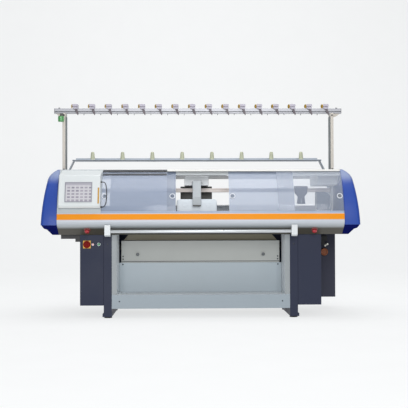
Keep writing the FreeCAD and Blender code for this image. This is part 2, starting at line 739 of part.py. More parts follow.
brackets = []
for side, sign in SIDES:
    stations = sorted((sign * s.feeder_half, sign * (s.feeder_half + s.bracket_wall)),
                      key=lambda v: v.number)
    brackets.append(side_profile([
        (-s.bracket_half, s.casting_deck), (-s.bracket_half, s.crest_height),
        (-s.feeder_y * 2, s.bracket_top), (s.feeder_y * 2, s.bracket_top),
        (s.bracket_half, s.crest_height), (s.bracket_half, s.casting_deck)], stations))
keep(group(brackets), "feeder_brackets")

# Yarn carrier: a slider saddled over the front rail, with a waisted plate down to the
# throat.
carrier_y = -s.feeder_y
saddle_gap = s.feeder_wall / 2 + s.slide_clearance
saddle = front_profile([
    (s.carrier_x - s.carrier_base / 2, s.carrier_bottom),
    (s.carrier_x + s.carrier_base / 2, s.carrier_bottom),
    (s.carrier_x + s.carrier_top_width / 2, s.carrier_top),
    (s.carrier_x - s.carrier_top_width / 2, s.carrier_top)],
    (carrier_y - saddle_gap - s.carrier_wall, carrier_y + saddle_gap + s.carrier_wall))
saddle_slot = box(across(s.carrier_base * 2, s.carrier_x),
                  (carrier_y - saddle_gap, carrier_y + saddle_gap),
                  (s.carrier_bottom - 1, s.feeder_top + s.slide_clearance))
waisted = [(s.carrier_base, s.carrier_bottom), (s.carrier_neck, s.carrier_neck_height),
           (s.carrier_foot, s.carrier_tip)]
stem = front_profile(
    [(s.carrier_x - width / 2, z) for width, z in waisted]
    + [(s.carrier_x + width / 2, z) for width, z in reversed(waisted)],
    (carrier_y - saddle_gap - s.carrier_wall, carrier_y - saddle_gap))
keep(fuse(cut(saddle, saddle_slot), stem), "yarn_carrier")

# ---------------------------------------------------------------- carriage drive
# Toothed belt round two pulleys at the front of the deck; the right pulley is driven.
pulley_front = -s.belt_y - s.pulley_width / 2
post_front = pulley_front + s.pulley_width + s.slide_clearance
bore_radius = s.journal_radius + s.running_fit
belt_back = -s.belt_y + s.belt_width / 2


def belt_outline(radius):
    """Pads a racetrack round both pulleys, seen from the front."""
    middle = box((-s.pulley_x, s.pulley_x), (belt_back - s.belt_width, belt_back),
                 (s.pulley_z - radius, s.pulley_z + radius))
    ends = [rod("y", sign * s.pulley_x, belt_back - s.belt_width, s.pulley_z, radius,
                s.belt_width) for side, sign in SIDES]
    return fuse(middle, *ends)


belt_inner = s.pulley_radius + s.slide_clearance
keep(cut(belt_outline(belt_inner + s.belt_wall), belt_outline(belt_inner)), "drive_belt")
posts = []
for side, sign in SIDES:
    x = sign * s.pulley_x
    wheel = cut(prism("y", x, pulley_front, s.pulley_z, s.pulley_radius, s.pulley_width, 36),
                bore("y", x, pulley_front - 1, s.pulley_z, bore_radius, s.pulley_width + 2))
    keep(wheel, "pulley_" + side)
    post = box(across(s.post_width, x), (post_front, post_front + s.post_wall),
               (s.casting_deck, s.pulley_z + s.post_width / 2))
    pin = rod("y", x, pulley_front, s.pulley_z, s.journal_radius,
              s.pulley_width + s.slide_clearance + s.post_wall)
    members = [post, pin]
    if sign > 0:
        members.append(rod("y", x, post_front + s.post_wall, s.pulley_z, s.drive_radius,
                           s.motor_length))
    posts.append(fuse(*members))
housing = box((s.housing_left, s.housing_right), (-s.housing_front, -s.housing_back),
              (s.casting_deck, s.housing_top))
doc.recompute()
housing_cover = doc.addObject("Part::Fillet", "housing")
housing_cover.Base = housing
top_z = s.housing_top.number
right_x = s.housing_right.number
housing_cover.Edges = [
    (number, s.housing_round.number, s.housing_round.number)
    for number, edge in enumerate(housing.Shape.Edges, 1)
    if all(v.Point.z > top_z - 1 and v.Point.x > right_x - 1 for v in edge.Vertexes)]
posts.append(housing_cover)
keep(group(posts), "pulley_posts")

# ---------------------------------------------------------------- legs and feet
# Sheet steel columns; the take-down rollers run in bushes in their inner walls.
takedown_y = s.roller_radius
press_y = -s.roller_gap - s.press_radius
bush_depth = s.journal_seat + s.bore_relief
for side, sign in SIDES:
    near, far = sorted((sign * s.leg_inner, sign * (s.leg_inner + s.leg_width)),
                       key=lambda v: v.number)
    column = box((near, far), (-s.leg_front, s.leg_back),
                 (s.foot_height + s.foot_plate, s.belly_height))
    foot_span = (near, far + s.foot_overhang) if sign > 0 else (near - s.foot_overhang, far)
    plate = box(foot_span, (-s.leg_front, s.leg_back),
                (s.foot_height, s.foot_height + s.foot_plate))
    bushes = [bore("x", -s.leg_inner - bush_depth if sign < 0 else s.leg_inner, y,
                   s.roller_height, bore_radius, bush_depth) for y in (takedown_y, press_y)]
    keep(cut(fuse(column, plate), *bushes), "leg_" + side)
pads = []
for side, sign in SIDES:
    x = sign * (s.leg_inner + s.leg_width / 2)
    for y in (s.pad_edge - s.leg_front, s.leg_back - s.pad_edge):
        pads.append(fuse(rod("z", x, y, 0, s.pad_radius, s.pad_height),
                         prism("z", x, y, s.pad_height, s.pad_stem,
                               s.foot_height - s.pad_height, 6)))
keep(group(pads), "levelling_feet")
rear_sheet = box((-s.leg_inner, s.leg_inner), (s.leg_back - s.panel_wall, s.leg_back),
                 (s.stretcher_bottom, s.belly_height))
rear_sill = box((-s.leg_inner, s.leg_inner), (s.leg_back - s.stretcher_wall, s.leg_back),
                (s.stretcher_bottom, s.stretcher_bottom + s.stretcher_height))
keep(fuse(rear_sheet, rear_sill), "rear_panel")

# ---------------------------------------------------------------- cabinets
leg_outer = s.leg_inner + s.leg_width
for side, sign in SIDES:
    near, far = sorted((sign * leg_outer, sign * s.cabinet_outer), key=lambda v: v.number)
    keep(box((near, far), (-s.cabinet_front, s.cabinet_back),
             (s.cabinet_bottom, s.belly_height)), "cabinet_" + side)
keep(box((s.cabinet_outer, s.side_box_end), (s.side_box_front, s.side_box_back),
         (s.side_box_bottom, s.belly_height)), "side_box")

# ---------------------------------------------------------------- panels between the legs
columns = []
for side, sign in SIDES:
    outer = sign * s.leg_inner
    inner = sign * (s.leg_inner - s.column_width)
    web = sign * (s.leg_inner - s.column_width + s.panel_wall)
    span = sorted((outer, inner), key=lambda v: v.number)
    web_span = sorted((inner, web), key=lambda v: v.number)
    flange = box(span, (-s.leg_front, -s.leg_front + s.panel_wall), (s.kick_top, s.belly_height))
    side_web = box(web_span, (-s.leg_front, -s.panel_plane), (s.kick_top, s.belly_height))
    columns.append(fuse(flange, side_web))
keep(group(columns), "columns")
panel_half = s.leg_inner - s.column_width
kick_half = s.leg_inner
kick_section = [(-s.kick_front, s.kick_bottom), (-s.kick_front, s.kick_top),
                (-s.panel_plane, s.kick_top), (-s.panel_plane, s.kick_top - s.panel_wall),
                (-s.kick_front + s.panel_wall, s.kick_top - s.panel_wall),
                (-s.kick_front + s.panel_wall, s.kick_bottom)]
keep(side_profile(kick_section, (-kick_half, kick_half)), "kick_panel")
keep(box((-panel_half, panel_half), (-s.panel_plane, -s.panel_plane + s.panel_wall),
         (s.kick_top, s.lower_top)), "lower_panel")

flap_half = s.leg_inner - s.flap_side_gap
flap_sheet = box((-flap_half, flap_half), (-s.panel_plane, -s.panel_plane + s.flap_wall),
                 (s.flap_bottom, s.flap_top))
flap_barrel = rod("x", -flap_half, -s.panel_plane + s.hinge_radius,
                  s.lower_top + s.slide_clearance + s.hinge_radius, s.hinge_radius,
                  flap_half * 2)
keep(fuse(flap_sheet, flap_barrel), "fabric_flap")
knobs = [prism("y", sign * (flap_half - s.knob_side_gap), -s.panel_plane - s.knob_length,
               s.flap_top - s.knob_drop, s.knob_radius, s.knob_length, 24)
         for side, sign in SIDES]
keep(group(knobs), "flap_knobs")

# ---------------------------------------------------------------- take-down rollers
for label, y, radius in (("takedown_roller", takedown_y, s.roller_radius),
                         ("press_roller", press_y, s.press_radius)):
    roller_end = s.leg_inner - s.roller_side_gap
    barrel = rod("x", -roller_end, y, s.roller_height, radius, roller_end * 2)
    journal_end = s.leg_inner + s.journal_seat
    journal = rod("x", -journal_end, y, s.roller_height, s.journal_radius, journal_end * 2)
    keep(fuse(barrel, journal), label)

# ---------------------------------------------------------------- operating bar
# Start and stop bar under the apron, turning in two brackets.
bar_y = -fold_y - s.bar_inset


def belly_z(reach):
    """Height of the sloping underside at a distance in front of the middle."""
    return s.belly_height + (reach - s.belly_reach) * belly_slope


bar_body = rod("x", -s.leg_inner, -bar_y, s.bar_height, s.bar_radius, s.leg_inner * 2)
pin_end = s.leg_inner + s.bar_pin
bar_pins = rod("x", -pin_end, -bar_y, s.bar_height, s.bar_journal, pin_end * 2)
keep(fuse(bar_body, bar_pins), "operating_bar")
bar_brackets = []
bracket_front = bar_y + s.bar_radius
bracket_back = bar_y - s.bar_bracket_reach
for side, sign in SIDES:
    near, far = sorted((sign * (s.leg_inner + s.slide_clearance),
                        sign * (s.leg_inner + s.bar_bracket_width)), key=lambda v: v.number)
    arm = side_profile([
        (-bracket_front, s.bar_bracket_bottom + s.bar_radius),
        (-bracket_front, belly_z(bracket_front)),
        (-bracket_back, belly_z(bracket_back)),
        (-bracket_back, belly_z(bracket_back) - s.bar_radius),
        (-bar_y + s.bar_radius, s.bar_bracket_bottom)], (near, far))
    hole = bore("x", near - 1 if sign > 0 else far - s.bar_pin - 1, -bar_y, s.bar_height,
                s.bar_journal + s.running_fit, s.bar_pin + 2)
    bar_brackets.append(cut(arm, hole))
keep(group(bar_brackets), "bar_brackets")

# ---------------------------------------------------------------- buttons and main switch
belly_angle = math.degrees(math.atan(belly_slope.number))
down_front = FreeCAD.Rotation(Vector(1, 0, 0), 180 - belly_angle)


def off_belly(distance):
    """Point a distance out from the sloping underside at the stop buttons."""
    y = -s.stop_reach - belly_slope / normal_length * distance
    z = belly_z(s.stop_reach) - distance / normal_length
    return y, z


collars = []
for side, sign in SIDES:
    x = sign * s.stop_x
    y, z = off_belly(as_size(0))
    ring = prism(down_front, x, y, z, s.stop_collar, s.stop_collar_height, 24)
    hole = bore(down_front, x, y, z, s.stop_stem + s.slide_clearance, s.stop_collar_height, 12)
    collars.append(cut(ring, hole))
    y, z = off_belly(s.stop_travel + s.slide_clearance)
    stem = prism(down_front, x, y, z, s.stop_stem, s.stop_collar_height, 12)
    y, z = off_belly(s.stop_collar_height + s.stop_travel + s.slide_clearance)
    cap = prism(down_front, x, y, z, s.stop_radius, s.stop_cap, 36)
    keep(fuse(stem, cap), "stop_button_" + side)

face = -s.cabinet_front
power_collar = prism("y", s.power_x, face - s.collar_length, s.switch_height,
                     s.button_collar, s.collar_length, 24)
power_hole = bore("y", s.power_x, face - s.collar_length, s.switch_height,
                  s.button_radius + s.slide_clearance, s.collar_length, 24)
collars.append(cut(power_collar, power_hole))
collars.append(prism("y", s.lamp_x, face - s.button_length, s.switch_height, s.button_radius,
                     s.button_length, 24))
keep(group(collars), "button_collars")
keep(prism("y", s.power_x, face - s.slide_clearance - s.stop_travel - s.button_length,
           s.switch_height, s.button_radius, s.button_length, 24), "power_button")

plate = box(across(s.switch_plate, s.switch_x), (face - s.switch_plate_wall, face),
            across(s.switch_plate, s.switch_height))
spindle_hole = bore("y", s.switch_x, face - s.switch_plate_wall, s.switch_height,
                    s.bar_journal + s.running_fit, s.switch_plate_wall)
keep(cut(plate, spindle_hole), "switch_plate")
disc_back = face - s.switch_plate_wall - s.slide_clearance
spindle = prism("y", s.switch_x, disc_back, s.switch_height, s.bar_journal,
                s.switch_plate_wall, 8)
disc = prism("y", s.switch_x, disc_back - s.knob_disc_length, s.switch_height, s.knob_disc,
             s.knob_disc_length, 36)
grip = box(across(s.knob_grip, s.switch_x),
           (disc_back - s.knob_disc_length - s.knob_grip_length, disc_back - 1),
           across(s.knob_disc * 2 - s.knob_grip, s.switch_height))
keep(fuse(spindle, disc, grip), "switch_knob")

# ---------------------------------------------------------------- yarn stand
# Two masts carry a long rail with sixteen tension units, over a table for the cones.
masts = []
for side, sign in SIDES:
    x = s.stand_x + sign * s.mast_x
    edge_x = x + sign * s.mast_width / 2
    tube = box(across(s.mast_width, x), across(s.mast_depth, s.mast_y),
               (s.crown_height, s.rail_bottom))
    gusset = front_profile([
        (edge_x, s.rail_bottom - s.gusset_height), (edge_x + sign * s.gusset_length, s.rail_bottom),
        (edge_x, s.rail_bottom)], across(s.gusset_wall, s.mast_y),
        {0: (s.gusset_radius, sign > 0)})
    masts.append(fuse(tube, gusset))
keep(group(masts), "masts")
rail_front = s.mast_y - s.rail_depth / 2
rail_top_z = s.rail_bottom + s.rail_height
keep(box(across(s.rail_end * 2, s.stand_x), across(s.rail_depth, s.mast_y),
         (s.rail_bottom, rail_top_z)), "top_rail")

# Signal lamp hung from a bracket on the front of the left mast.
lamp_top = s.rail_bottom - s.lamp_drop
lamp_x = s.stand_x - s.mast_x - s.lamp_offset
lamp_y = s.mast_y - s.mast_depth / 2 - s.lamp_radius
lamp_bracket = box((lamp_x - s.lamp_stem, lamp_x + s.lamp_stem * 2),
                   (lamp_y - s.lamp_stem, s.mast_y - s.mast_depth / 2),
                   (lamp_top, lamp_top + s.lamp_stem * 3))
lamp_lens = prism("z", lamp_x, lamp_y, lamp_top - s.lamp_height, s.lamp_radius,
                  s.lamp_height, 36)
keep(fuse(lamp_bracket, lamp_lens), "signal_lamp")

# Tension units: a body on the rail with a tension disc at its left, and two notched
# lugs in front that the pin of a hanging stop lever drops into.
units = []
levers = []
pivot_y = rail_front - s.arm_offset
arm_pivot = rail_top_z + s.arm_rise
arm_turn = FreeCAD.Rotation(Vector(0, 1, 0), 180 - s.arm_lean.number)
lug_half = s.tension_width / 2 - s.disc_gap
notch_half = s.disc_gap + s.running_fit
for pair in range(int(s.tension_pairs.number)):
    for side, sign in SIDES:
        x = s.tension_x + sign * (s.tension_pitch * pair + s.tension_pitch / 2)
        block = box(across(s.tension_width, x), across(s.tension_depth, s.mast_y),
                    (rail_top_z, rail_top_z + s.tension_height))
        disc_x = x - s.tension_width / 2 - s.disc_gap - s.disc_wall
        disc = prism("x", disc_x, s.mast_y, rail_top_z + s.tension_height / 2 + s.disc_gap,
                     s.disc_radius, s.disc_wall, 12)
        axle = box((disc_x, x), across(s.disc_gap * 2, s.mast_y),
                   across(s.disc_gap * 2, rail_top_z + s.tension_height / 2 + s.disc_gap))
        lugs = [box(span, (pivot_y - s.disc_gap * 2, rail_front),
                    across(s.disc_wall * 2, arm_pivot))
                for span in ((x - lug_half, x - lug_half + s.disc_gap),
                             (x + lug_half - s.disc_gap, x + lug_half))]
        notch = box((x - lug_half, x + lug_half), (pivot_y - notch_half, pivot_y + notch_half),
                    (arm_pivot - notch_half, arm_pivot + s.disc_wall * 2))
        units.append(cut(fuse(block, disc, axle, *lugs), notch))
        pin = prism("x", x - lug_half, pivot_y, arm_pivot, s.disc_gap, lug_half * 2, 8)
        arm = doc.addObject("Part::Box", "arm")
        bind(arm, "Length", s.arm_width)
        bind(arm, "Width", s.arm_wall)
        bind(arm, "Height", s.arm_length)
        place(arm, x - s.arm_start + s.arm_width / 2, pivot_y - s.arm_wall / 2,
              arm_pivot + s.disc_gap, arm_turn)
        levers.append(fuse(pin, arm))
keep(group(units), "tension_units")
keep(group(levers), "stop_levers")

# Cone table: a folded sheet tray on two bent legs that stand on the crown.
table_front = s.mast_y - s.table_depth / 2
table_back = s.mast_y + s.table_depth / 2
table_top = s.table_bottom + s.table_wall
tray = side_profile([
    (table_front, s.table_bottom - s.table_flange), (table_front, table_top),
    (table_back - s.table_wall, table_top), (table_back - s.table_wall, s.table_bottom + s.table_lip),
    (table_back, s.table_bottom + s.table_lip), (table_back, s.table_bottom),
    (table_front + s.table_wall, s.table_bottom),
    (table_front + s.table_wall, s.table_bottom - s.table_flange)],
    across(s.table_half * 2, s.table_x))
bent_legs = []
for side, sign in SIDES:
    head = s.table_x + sign * s.table_half
    foot = s.table_x + sign * s.table_foot
    mast_face = s.stand_x + sign * (s.mast_x - s.mast_width / 2)
    wall = sign * s.table_wall
    bent_legs.append(front_profile([
        (head - wall, s.table_bottom), (head, s.table_bottom),
        (foot, s.crown_height + s.table_wall), (mast_face, s.crown_height + s.table_wall),
        (mast_face, s.crown_height), (foot - wall, s.crown_height)],
        across(s.table_leg_width, s.mast_y)))
keep(fuse(tray, *bent_legs), "bobbin_table")
pins = [tapered(s.table_x + sign * (s.pin_first + s.pin_pitch * number), s.mast_y, table_top,
                s.pin_base, s.pin_top, s.pin_height, 12)
        for side, sign in SIDES for number in range(4)]
keep(group(pins), "cone_pins")

# ---------------------------------------------------------------- check and write
doc.recompute()
for thing in doc.Objects:
    if {"Invalid", "Error"} & set(thing.State):
        raise SystemExit("failed: %s %s" % (thing.Name, thing.Label))
os.makedirs("parts", exist_ok=True)
for piece in pieces:
    shape = piece.Shape
    if shape.isNull() or not shape.isValid() or not shape.Solids:
        raise SystemExit("bad shape: " + piece.Label)
    shape.exportStep("parts/%s.step" % piece.Label)
print("%d pieces" % len(pieces))
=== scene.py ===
import json
import math

import bmesh
import bpy
from mathutils import Matrix, Vector

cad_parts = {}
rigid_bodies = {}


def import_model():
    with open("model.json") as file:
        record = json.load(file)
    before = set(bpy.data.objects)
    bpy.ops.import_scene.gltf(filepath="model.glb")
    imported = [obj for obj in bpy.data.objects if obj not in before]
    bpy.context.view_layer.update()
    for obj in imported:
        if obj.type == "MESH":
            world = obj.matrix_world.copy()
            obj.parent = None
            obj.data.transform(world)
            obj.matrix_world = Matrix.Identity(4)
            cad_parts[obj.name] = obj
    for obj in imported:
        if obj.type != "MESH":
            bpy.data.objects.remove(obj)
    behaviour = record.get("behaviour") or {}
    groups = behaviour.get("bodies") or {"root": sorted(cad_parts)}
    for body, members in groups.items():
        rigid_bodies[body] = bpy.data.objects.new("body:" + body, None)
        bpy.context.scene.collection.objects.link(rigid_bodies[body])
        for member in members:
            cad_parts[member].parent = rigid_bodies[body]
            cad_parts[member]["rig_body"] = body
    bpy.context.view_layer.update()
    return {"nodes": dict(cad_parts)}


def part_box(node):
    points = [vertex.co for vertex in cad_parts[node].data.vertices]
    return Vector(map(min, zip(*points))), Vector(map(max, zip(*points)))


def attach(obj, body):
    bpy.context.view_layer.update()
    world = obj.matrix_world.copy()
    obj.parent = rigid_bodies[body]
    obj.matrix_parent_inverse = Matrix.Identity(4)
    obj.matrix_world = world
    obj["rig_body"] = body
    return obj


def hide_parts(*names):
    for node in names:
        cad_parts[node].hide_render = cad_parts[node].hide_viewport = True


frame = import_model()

scene = bpy.context.scene

# -------- studio
# A pale paper sweep under soft lamps, seen by a long lens at about bench height a
# little left of the machine's middle.
camera_place = Vector((-0.116, -6.939, 0.810))
camera_yaw, camera_pitch, camera_roll = (math.radians(a) for a in (1.223, 0.855, -0.152))


def placed(name, data):
    """A new object in the scene."""
    item = bpy.data.objects.new(name, data)
    scene.collection.objects.link(item)
    return item


camera = placed("camera", bpy.data.cameras.new("camera"))
camera.data.sensor_width = 36
camera.data.lens = 72.86
camera.data.clip_end = 60
camera.matrix_world = (Matrix.Translation(camera_place)
                       @ Matrix.Rotation(-camera_yaw, 4, "Z")
                       @ Matrix.Rotation(math.pi / 2 + camera_pitch, 4, "X")
                       @ Matrix.Rotation(camera_roll, 4, "Z"))
scene.camera = camera
scene.view_settings.view_transform = "Standard"


def linear(code):
    """An sRGB hex colour as linear light."""
    parts = [int(code[i:i + 2], 16) / 255 for i in (0, 2, 4)]
    return tuple(c / 12.92 if c <= 0.04045 else ((c + 0.055) / 1.055) ** 2.4
                 for c in parts) + (1.0,)


def fill(tree, item, settings):
    """Sets a node's properties and inputs; an output of another node is linked in."""
    for key, value in settings.items():
        if isinstance(value, bpy.types.NodeSocket):
            tree.links.new(value, item.inputs[key])
        elif isinstance(key, str) and hasattr(item, key):
            setattr(item, key, value)
        else:
            item.inputs[key].default_value = value
    return item


def add(tree, kind, settings=None):
    """Adds a node and fills it."""
    return fill(tree, tree.nodes.new(kind), settings or {})


def surface(name):
    """A new material, its nodes, its shader and the object's own coordinates."""
    material = bpy.data.materials.new(name)
    material.use_nodes = True
    tree = material.node_tree
    where = add(tree, "ShaderNodeTexCoord").outputs["Object"]
    return material, tree, tree.nodes["Principled BSDF"], where


def axes(tree, where):
    """The three coordinates of a place, by letter."""
    return add(tree, "ShaderNodeSeparateXYZ", {"Vector": where}).outputs


def noise(tree, where, scale, detail, roughness=0.5):
    """A cloudy pattern's value."""
    return add(tree, "ShaderNodeTexNoise", {
        "Scale": scale, "Detail": detail, "Roughness": roughness,
        "Vector": where}).outputs["Fac"]


def remap(tree, value, low, high, to_low=0.0, to_high=1.0, ease="LINEAR"):
    """Carries a value from one span over to another, held at both ends."""
    return add(tree, "ShaderNodeMapRange", {
        "interpolation_type": ease, "Value": value, "From Min": low, "From Max": high,
        "To Min": to_low, "To Max": to_high}).outputs["Result"]


def mixed(tree, factor, low, high):
    """A colour between two, each a hex code, linear light or a node's output."""
    low, high = (linear(c) if isinstance(c, str) else c for c in (low, high))
    return add(tree, "ShaderNodeMix", {"data_type": "RGBA", 0: factor, 6: low,
                                       7: high}).outputs[2]


def stand_alone(name, shape, material, smooth=32):
    """An object made from a bmesh, smooth up to an angle in degrees."""
    mesh = bpy.data.meshes.new(name)
    bmesh.ops.recalc_face_normals(shape, faces=shape.faces)
    shape.to_mesh(mesh)
    shape.free()
    mesh.materials.append(material)
    mesh.shade_smooth()
    mesh.set_sharp_from_angle(angle=math.radians(smooth))
    return placed(name, mesh)


# Back-lit matt paper: an even glow with a faint fibre mottle under it.
paper, tree, shader, where = surface("matt_paper")
fill(tree, shader, {
    "Base Color": mixed(tree, noise(tree, where, 3.0, 4.0), "808182", "868788"),
    "Roughness": 1.0, "Specular IOR Level": 0.0, "Emission Color": linear("F5F6F6"),
    "Emission Strength": remap(tree, axes(tree, where)["Y"], -4.8, -3.8, 0.05, 0.775)})


def quarter(steps):
    """The angles of a quarter turn in equal steps."""
    return [math.pi / 2 * k / steps for k in range(steps + 1)]


sweep = bmesh.new()
wall_y, bend = 7.0, 2.0
line = ([(-14.0, 0.0)]
        + [(wall_y - bend + bend * math.sin(a), bend - bend * math.cos(a)) for a in quarter(16)]
        + [(wall_y, 9.0)])
edges = [[sweep.verts.new((x, y, z)) for x in (-16.0, 16.0)] for y, z in line]
for near, far in zip(edges, edges[1:]):
    sweep.faces.new((near[0], near[1], far[1], far[0]))
backdrop = stand_alone("backdrop", sweep, paper, 60)

for name, place, target, size, power in (
        ("key_lamp", (0.8, -7.2, 3.4), (0.0, 0.0, 0.8), 3.0, 200),
        ("fill_lamp", (-1.3, -7.5, 1.2), (-0.1, 0.0, 0.8), 2.4, 120),
        ("crown_lamp", (0.2, -0.6, 5.0), (0.0, 0.0, 0.9), 4.0, 160),
        ("paper_lamp", (0.0, 2.4, 5.2), (0.0, 7.0, 1.6), 5.0, 90)):
    lamp = placed(name, bpy.data.lights.new(name, "AREA"))
    lamp.data.size = size
    lamp.data.energy = power
    lamp.location = place
    lamp.rotation_mode = "QUATERNION"
    lamp.rotation_quaternion = (Vector(target) - lamp.location).to_track_quat("-Z", "Y")

sky = bpy.data.worlds.new("studio_air")
sky.use_nodes = True
fill(sky.node_tree, sky.node_tree.nodes["Background"],
     {"Color": linear("EEF1F6"), "Strength": 0.26})
scene.world = sky

# -------- control cable
# Flexible PVC lead between two glands on the control box: it leaves the upper gland,
# hangs in a loop beside the box and goes back in at the lower gland.
cable_start = Vector((-0.778, -0.4246, 1.082))
cable_sweep = 0.0217 / 0.196
cable_runs = [(0, 0), (14, 0), (27, -13), (33, -42), (36, -88), (35, -128), (31, -160),
              (25, -181), (13, -196), (0, -196)]


def shades(tree, factor, colour, low, high):
    """A colour that wanders between a darker and a lighter shade of itself."""
    base = Vector(linear(colour)[:3])
    return mixed(tree, factor, (*(base * low), 1), (*(base * high), 1))


def bumped(tree, height, strength, depth):
    """The surface normal over a relief of a given depth."""
    return add(tree, "ShaderNodeBump", {"Strength": strength, "Distance": depth,
                                        "Height": height}).outputs["Normal"]


def moulded(name, colour, roughness=0.42, grain=0.004, depth=0.0003, drift=0.05, scuff=0.0,
            metallic=0.0, shine=0.5, coat=0.0):
    """Moulded or coated skin: an even colour that drifts a little, finely dimpled, with
    faint rubbed marks where scuff is above nothing; shine below a half is a matt skin."""
    material, tree, shader, where = surface(name)
    cloud = noise(tree, where, 4.5, 4.0, 0.55)
    tone = shades(tree, cloud, colour, 1 - drift, 1 + drift)
    if scuff:
        patch = remap(tree, noise(tree, where, 38.0, 6.0, 0.7), 0.6, 0.78, 0.0, scuff)
        rubbed = Vector(linear(colour)[:3]) * 0.55 + Vector((0.05,) * 3)
        tone = mixed(tree, patch, tone, (*rubbed, 1))
    polish = remap(tree, cloud, 0.3, 0.7, roughness * 0.85, min(1.0, roughness * 1.18))
    fill(tree, shader, {
        "Base Color": tone, "Roughness": polish, "Metallic": metallic, "Coat Weight": coat,
        "Specular IOR Level": shine,
        "Normal": bumped(tree, noise(tree, where, 1 / grain, 2.0), 0.35, depth)})
    return material


# Soft PVC sheath: satin black with a slight bloom.
sheath = moulded("pvc_sheath", "1B1D21", grain=0.002)

line = bpy.data.curves.new("control_lead", "CURVE")
line.dimensions = "3D"
line.resolution_u = 10
line.bevel_depth = 0.0035
line.bevel_resolution = 5
line.use_fill_caps = True
route = line.splines.new("NURBS")
route.points.add(len(cable_runs) - 1)
for point, (along, rise) in zip(route.points, cable_runs):
    point.co = (*(cable_start + Vector((along, rise * cable_sweep, rise)) / 1000), 1)
route.order_u = 3
route.use_endpoint_u = True
line.materials.append(sheath)
lead = placed("control_lead", line)


def settle(item, *nodes):
    """Rides on the body of the first CAD node and stands for them all."""
    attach(item, frame["nodes"][nodes[0]]["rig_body"])
    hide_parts(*nodes)
    return item


settle(lead, "control_cable")

# -------- end caps
# Thick vacuum-formed ABS covers over both ends, dyed blue and left glossy, hooked over
# the machine's arch and pulled up against the painted covers with a narrow shadow gap.
arch_axis = (0.162, 0.736)
arch_radius = 0.620
seam_x, end_x = 1.131, 1.260
skirt_z, crown_z = 0.742, 1.190
edge_round = 0.026
gap_width, gap_depth, gap_lip = 0.003, 0.007, 0.0015

# Dyed ABS: deep blue with a wet gloss and a slow waviness from forming, mixed to a paler blue
# high on the shoulder as a painted highlight.
blue_abs = moulded("gloss_blue_abs", "264699", 0.40, grain=0.05, depth=0.0012, drift=0.07,
                   shine=0.32, coat=0.05)
tree, shader = blue_abs.node_tree, blue_abs.node_tree.nodes["Principled BSDF"]
rise = axes(tree, add(tree, "ShaderNodeTexCoord").outputs["Object"])["Z"]
# Painted highlight: the blue turns paler from the upper flank up to the crown.
shoulder_highlight = remap(tree, rise, 1.062, 1.150, ease="SMOOTHSTEP")
dyed = shader.inputs["Base Color"].links[0].from_socket
fill(tree, shader, {"Base Color": mixed(tree, shoulder_highlight, dyed, "818FB2")})


def arch_y(radius, z):
    """Front-to-back place on the front of the shared arch at a height."""
    return arch_axis[0] - math.sqrt(radius ** 2 - (z - arch_axis[1]) ** 2)


def cap_reach(z):
    """How far out the cap's flank stands at a height: a slow lean, then the shoulder."""
    lean, swell, shoulder, roundness = 0.034, 0.004, 0.066, 0.94
    shoulder_z = crown_z - 0.087
    if z <= shoulder_z:
        t = (z - skirt_z) / (shoulder_z - skirt_z)
        return end_x - lean * t + swell * 4 * t * (1 - t)
    turn, full = (1 - math.sqrt(1 - (roundness * t) ** 2)
                  for t in ((z - shoulder_z) / (crown_z - shoulder_z), 1.0))
    return end_x - lean - shoulder * turn / full


def grid_faces(mesh, rows, closed=False):
    """Joins rows of vertices of equal length with four-sided faces."""
    for one, two in zip(rows, rows[1:]):
        count = len(one) if closed else len(one) - 1
        for k in range(count):
            after = (k + 1) % len(one)
            mesh.faces.new((one[k], one[after], two[after], two[k]))


def end_cap(sign, label):
    """Lofts a cap as slices round the arch, each running from the seam to the flank."""
    upward = Vector((0, 0, 1))
    half = []
    for k in range(25):
        z = skirt_z + (crown_z - skirt_z) * k / 24
        place = Vector((0, arch_y(arch_radius, z), z))
        half.append((place, Vector((0, place.y - arch_axis[0], z - arch_axis[1])).normalized()))
    crown, lean = half.pop()
    for t in (0.35, 0.7):
        half.append((crown - Vector((0, 0.004, 0.002)) * (1 - t),
                     (lean * (1 - t) + upward * t).normalized()))
    half.append((Vector((0, crown.y + 0.012, crown_z)), upward))
    flat = [(Vector((0, y, crown_z)), upward) for y in (crown.y * 0.5, 0.0, -crown.y * 0.5)]
    mirror = Vector((1, -1, 1))
    rear = [(place * mirror, outward * mirror) for place, outward in reversed(half)]
    mesh = bmesh.new()
    rows = []
    for place, outward in half + flat + rear:
        reach = cap_reach(place.z)
        steps = [(seam_x, gap_depth), (seam_x + gap_width, gap_depth),
                 (seam_x + gap_width, gap_lip), (seam_x + gap_width + gap_lip, 0.0),
                 ((seam_x + reach - edge_round) / 2, 0.0)]
        bend = min(edge_round, (reach - seam_x) * 0.5)
        steps += [(reach - bend + bend * math.sin(a), bend - bend * math.cos(a))
                  for a in quarter(7)]
        rows.append([mesh.verts.new((sign * x, place.y - outward.y * drop,
                                     place.z - outward.z * drop)) for x, drop in steps])
    grid_faces(mesh, rows)
    count = len(half)
    for column in ([row[-1] for row in rows], [row[0] for row in rows]):
        for k in range(count - 1):
            mesh.faces.new((column[k], column[k + 1], column[-k - 2], column[-k - 1]))
        mesh.faces.new(column[count - 1:len(column) - count + 1])
    mesh.faces.new(rows[0] + list(reversed(rows[-1])))
    settle(stand_alone("cap_" + label, mesh, blue_abs, 40), "end_cap_" + label)


end_cap(-1, "left")
end_cap(1, "right")


def softened(item, width, steps=2, angle=30):
    """Rounds over the arrises that turn by more than an angle in degrees."""
    arris = item.modifiers.new("arris", "BEVEL")
    arris.width = width
    arris.segments = steps
    arris.limit_method = "ANGLE"
    arris.angle_limit = math.radians(angle)
    arris.harden_normals = True
    return item


